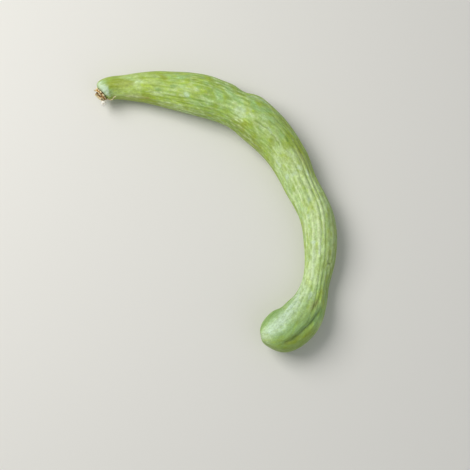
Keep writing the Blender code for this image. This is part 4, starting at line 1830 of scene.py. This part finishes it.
@dataclass(frozen=True)
class PeeledStrip(StalkPart):
    """Strip of skin that is peeled back from the crown along the neck."""

    angles: Pair = (172.0, 150.0)
    stations: Pair = (-1.4, 14.6)
    crowding: float = 1.6
    curl: float = 1.5
    root: float = 5.4
    width: float = 1.7
    taper: float = 0.5
    thickness: float = 0.7
    section: float = 0.4
    gap: float = 0.45
    bow: float = 1.0
    waver: float = 0.12
    waver_pace: float = 23.0
    steps: int = 60
    columns: int = 20
    torn: Pair = (0.15, 0.5)
    deep: Pair = (0.3, 0.0)
    deep_share: float = 0.5

    def surface(self) -> Surface:
        """Works out the strip: a flat loop carried along a path on the neck's shoulder.

        The path's distance from the core is the shoulder's superellipse, made larger by
        the strip's clearance, and a small bow. Its angle turns by a power of the way
        along it, so that the tip curls.

        Returns:
            The strip's mesh data, with the masks "torn" and "deep".
        """
        way = np.linspace(0, 1, self.steps)
        start, stop = self.stations
        station = start + (stop - start) * way**self.crowding
        centre, outward, upward = self.form.frames(station)
        radius = self.form.radius(station)
        first, last = self.angles
        middle = np.radians(first + (last - first) * way**self.curl)
        clear = self.gap + self.thickness / 2
        depth = np.clip((station + clear) / (self.form.neck_shoulder + clear), 0, 1)
        power = self.form.neck_squareness
        hug = (1 - (1 - depth) ** power) ** (1 / power)
        wall = np.maximum((radius + clear) * hug, self.root)
        wall = wall + self.bow * np.sin(math.pi * way) * (1 - way)
        loop = np.linspace(0, 2 * math.pi, self.columns, endpoint=False)[None]
        half_width = (self.width / 2 * (1 - self.taper * way))[:, None]
        ragged = 1 + self.waver * np.sin(way * self.waver_pace)[:, None] * np.cos(loop)
        side = half_width * np.cos(loop) * ragged
        angle = middle[:, None] + side / radius[:, None]
        reach = wall[:, None] + self.thickness * self.section * np.sin(loop)
        across = (reach * np.cos(angle))[..., None] * outward[:, None]
        points = centre[:, None] + across + (reach * np.sin(angle))[..., None] * upward[:, None]
        torn = smooth(*self.torn, way)[:, None]
        # Painted shade: umber where the strip leaves the crown
        deep = self.deep_share * smooth(*self.deep, way)[:, None]
        made = Surface()
        made.add_tube(points[:, ::-1], points[0].mean(0), points[-1].mean(0), torn=torn, deep=deep)
        return made


@dataclass(frozen=True)
class TornFibres(StalkPart):
    """Fine torn fibres that stand out of the crown. Pairs named draws are their limits."""

    count: int = 30
    radius: float = 0.1
    taper: float = 0.75
    seat: float = 0.9
    sag: float = 0.3
    seed: int = 11
    start_draws: Pair = (1.2, 5.6)
    length_draws: Pair = (1.4, 2.8)
    bend_draws: Pair = (0.1, 0.8)
    inner_start: float = 3.0
    inner_bend: float = 0.35
    swirl_draws: Pair = (-0.5, 0.5)
    swirl_reach: float = 1.5
    thickness_draws: Pair = (0.7, 1.3)
    steep_bend: float = 0.3
    steep_side: Triple = (0.3, -0.2, 0.93)
    upright_side: Triple = (1.0, 0.2, 0.0)
    steps: int = 9
    columns: int = 6
    torn: Pair = (0.0, 0.8)
    deep: Pair = (0.5, 0.0)
    deep_share: float = 0.7

    def surface(self) -> Surface:
        """Works out the fibres: thin tapering tubes on short curved paths.

        Each path starts on the plate, rises along the stalk and bends outwards by the
        square of the way along it. Its tube is a ring across the path at each step.

        Returns:
            The fibres' mesh data, with the masks "torn" and "deep".
        """
        draw = np.random.default_rng(self.seed)
        made = Surface()
        way = np.linspace(0, 1, self.steps)[:, None]
        loop = np.linspace(0, 2 * math.pi, self.columns, endpoint=False)[None, :, None]
        torn = smooth(*self.torn, way)
        # Painted shade: umber at the fibres' roots
        deep = self.deep_share * smooth(*self.deep, way)
        for _ in range(self.count):
            turn = draw.uniform(0, 2 * math.pi)
            start = draw.uniform(*self.start_draws)
            length = draw.uniform(*self.length_draws)
            bend = draw.uniform(*self.bend_draws) * (self.inner_bend if start < self.inner_start else 1)
            direction = turn + draw.uniform(*self.swirl_draws) * way**2 * self.swirl_reach / start
            radius = start + length * bend * way**2
            height = self.plate_gap + self.seat + length * way * (1 - self.sag * bend * way)
            path = np.hstack((radius * np.cos(direction), radius * np.sin(direction), height))
            run = np.gradient(path, axis=0)
            run /= np.linalg.norm(run, axis=1)[:, None]
            aside = np.cross(run, self.steep_side if bend > self.steep_bend else self.upright_side)
            aside /= np.linalg.norm(aside, axis=1)[:, None]
            ring = aside[:, None] * np.cos(loop) + np.cross(run, aside)[:, None] * np.sin(loop)
            thick = self.radius * (1 - self.taper * way) * draw.uniform(*self.thickness_draws)
            points = self.placed(path[:, None] + ring * thick[..., None])
            made.add_tube(points, *self.placed(path[[0, -1]]), torn=torn, deep=deep)
        return made


@dataclass(frozen=True)
class TornStalk:
    """What is left of the stalk: a corky plate, torn flaps, pith, a peeled strip, fibres."""

    tissue: DryStalkTissue = DryStalkTissue()
    chalky: DryPith = DryPith()
    plate: CorkyPlate = CorkyPlate()
    flaps: TornFlaps = TornFlaps()
    pith: PithKnob = PithKnob()
    strip: PeeledStrip = PeeledStrip()
    fibres: TornFibres = TornFibres()

    def build(self) -> list[bpy.types.Object]:
        """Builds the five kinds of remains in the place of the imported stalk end.

        Returns:
            The five finished pieces.
        """
        tissue = self.tissue.build()
        pith = self.chalky.build()
        pieces = (
            ("corky_plate", self.plate, tissue),
            ("torn_flaps", self.flaps, tissue),
            ("dry_pith", self.pith, pith),
            ("peeled_strip", self.strip, tissue),
            ("torn_fibres", self.fibres, tissue),
        )
        return [
            place_piece(name, part.surface(), material, "dried_stalk_end")
            for name, part, material in pieces
        ]


# Studio


@dataclass(frozen=True)
class SoftLamp:
    """A square area lamp that points at the fruit's middle."""

    name: str
    place: Triple
    size: float
    watts: float
    tone: str


@dataclass(frozen=True)
class Studio:
    """Pale floor, soft lamps and the camera."""

    lamps: tuple[SoftLamp, ...] = (
        SoftLamp("key_lamp", (-0.75, 0.35, 1.05), 0.9, 15.2, "#FFFCF6"),
        SoftLamp("fill_lamp", (0.9, -0.8, 1.1), 1.6, 3.6, "#F4F7FF"),
    )
    sky_strength: float = 0.31
    floor_size: float = 8.0
    floor_roughness: float = 0.9
    lens_mm: float = 85.0
    sensor_mm: float = 36.0
    nearest_seen: float = 0.01
    elevation: float = 78.0
    distance: float = 1.032
    target: Triple = (0.0201, -0.02598, 0.019)

    def floor(self) -> None:
        """Builds a matt pale floor at the height of the surface that the fruit lies on."""
        material, tree = blank_material("matt_pale_floor")
        end_material(tree, {"Base Color": Tone.FLOOR.linear, "Roughness": self.floor_roughness})
        half = self.floor_size / 2
        mesh = bpy.data.meshes.new("pale_floor")
        corners = [(-half, -half, 0), (half, -half, 0), (half, half, 0), (-half, half, 0)]
        mesh.from_pydata(corners, [], [(0, 1, 2, 3)])
        mesh.materials.append(material)
        floor = bpy.data.objects.new("pale_floor", mesh)
        bpy.context.scene.collection.objects.link(floor)

    def light(self) -> None:
        """Adds the lamps and an even sky."""
        for lamp in self.lamps:
            data = bpy.data.lights.new(lamp.name, "AREA")
            data.shape = "SQUARE"
            data.size = lamp.size
            data.energy = lamp.watts
            data.color = linear_colour(lamp.tone)[:3]
            item = bpy.data.objects.new(lamp.name, data)
            item.location = lamp.place
            item.rotation_euler = (-Vector(lamp.place)).to_track_quat("-Z", "Y").to_euler()
            bpy.context.scene.collection.objects.link(item)
        world = bpy.data.worlds.new("even_sky")
        world.use_nodes = True
        tree = world.node_tree
        tree.nodes.clear()
        inputs = {"Color": Tone.SKY.linear, "Strength": self.sky_strength}
        sky = add_node(tree, "ShaderNodeBackground", "Background", inputs)
        add_node(tree, "ShaderNodeOutputWorld", "", {"Surface": sky})
        bpy.context.scene.world = world

    def camera(self) -> None:
        """Sets the camera, which looks along +Y, down at the fruit, from the photo's angle."""
        tilt = math.radians(self.elevation)
        back = Vector((0.0, -math.cos(tilt), math.sin(tilt)))
        data = bpy.data.cameras.new("view")
        data.lens = self.lens_mm
        data.sensor_width = self.sensor_mm
        data.clip_start = self.nearest_seen
        item = bpy.data.objects.new("view", data)
        item.location = Vector(self.target) + back * self.distance
        item.rotation_euler = (math.radians(90.0) - tilt, 0.0, 0.0)
        bpy.context.scene.collection.objects.link(item)
        bpy.context.scene.camera = item

    def build(self) -> None:
        """Builds the floor, the lights and the camera, and sets plain colour output."""
        self.floor()
        self.light()
        self.camera()
        bpy.context.scene.view_settings.view_transform = "Standard"


def main() -> None:
    """Builds everything in order and reports each piece."""
    logging.basicConfig(level=logging.INFO, format="%(name)s: %(message)s")
    Studio().build()
    pieces = RibbedFruit().build() + TornStalk().build()
    for piece in pieces:
        triangles = sum(len(face.vertices) - 2 for face in piece.data.polygons)
        LOG.info("%s: %d triangles", piece.name, triangles)


if __name__ == "__main__":
    main()
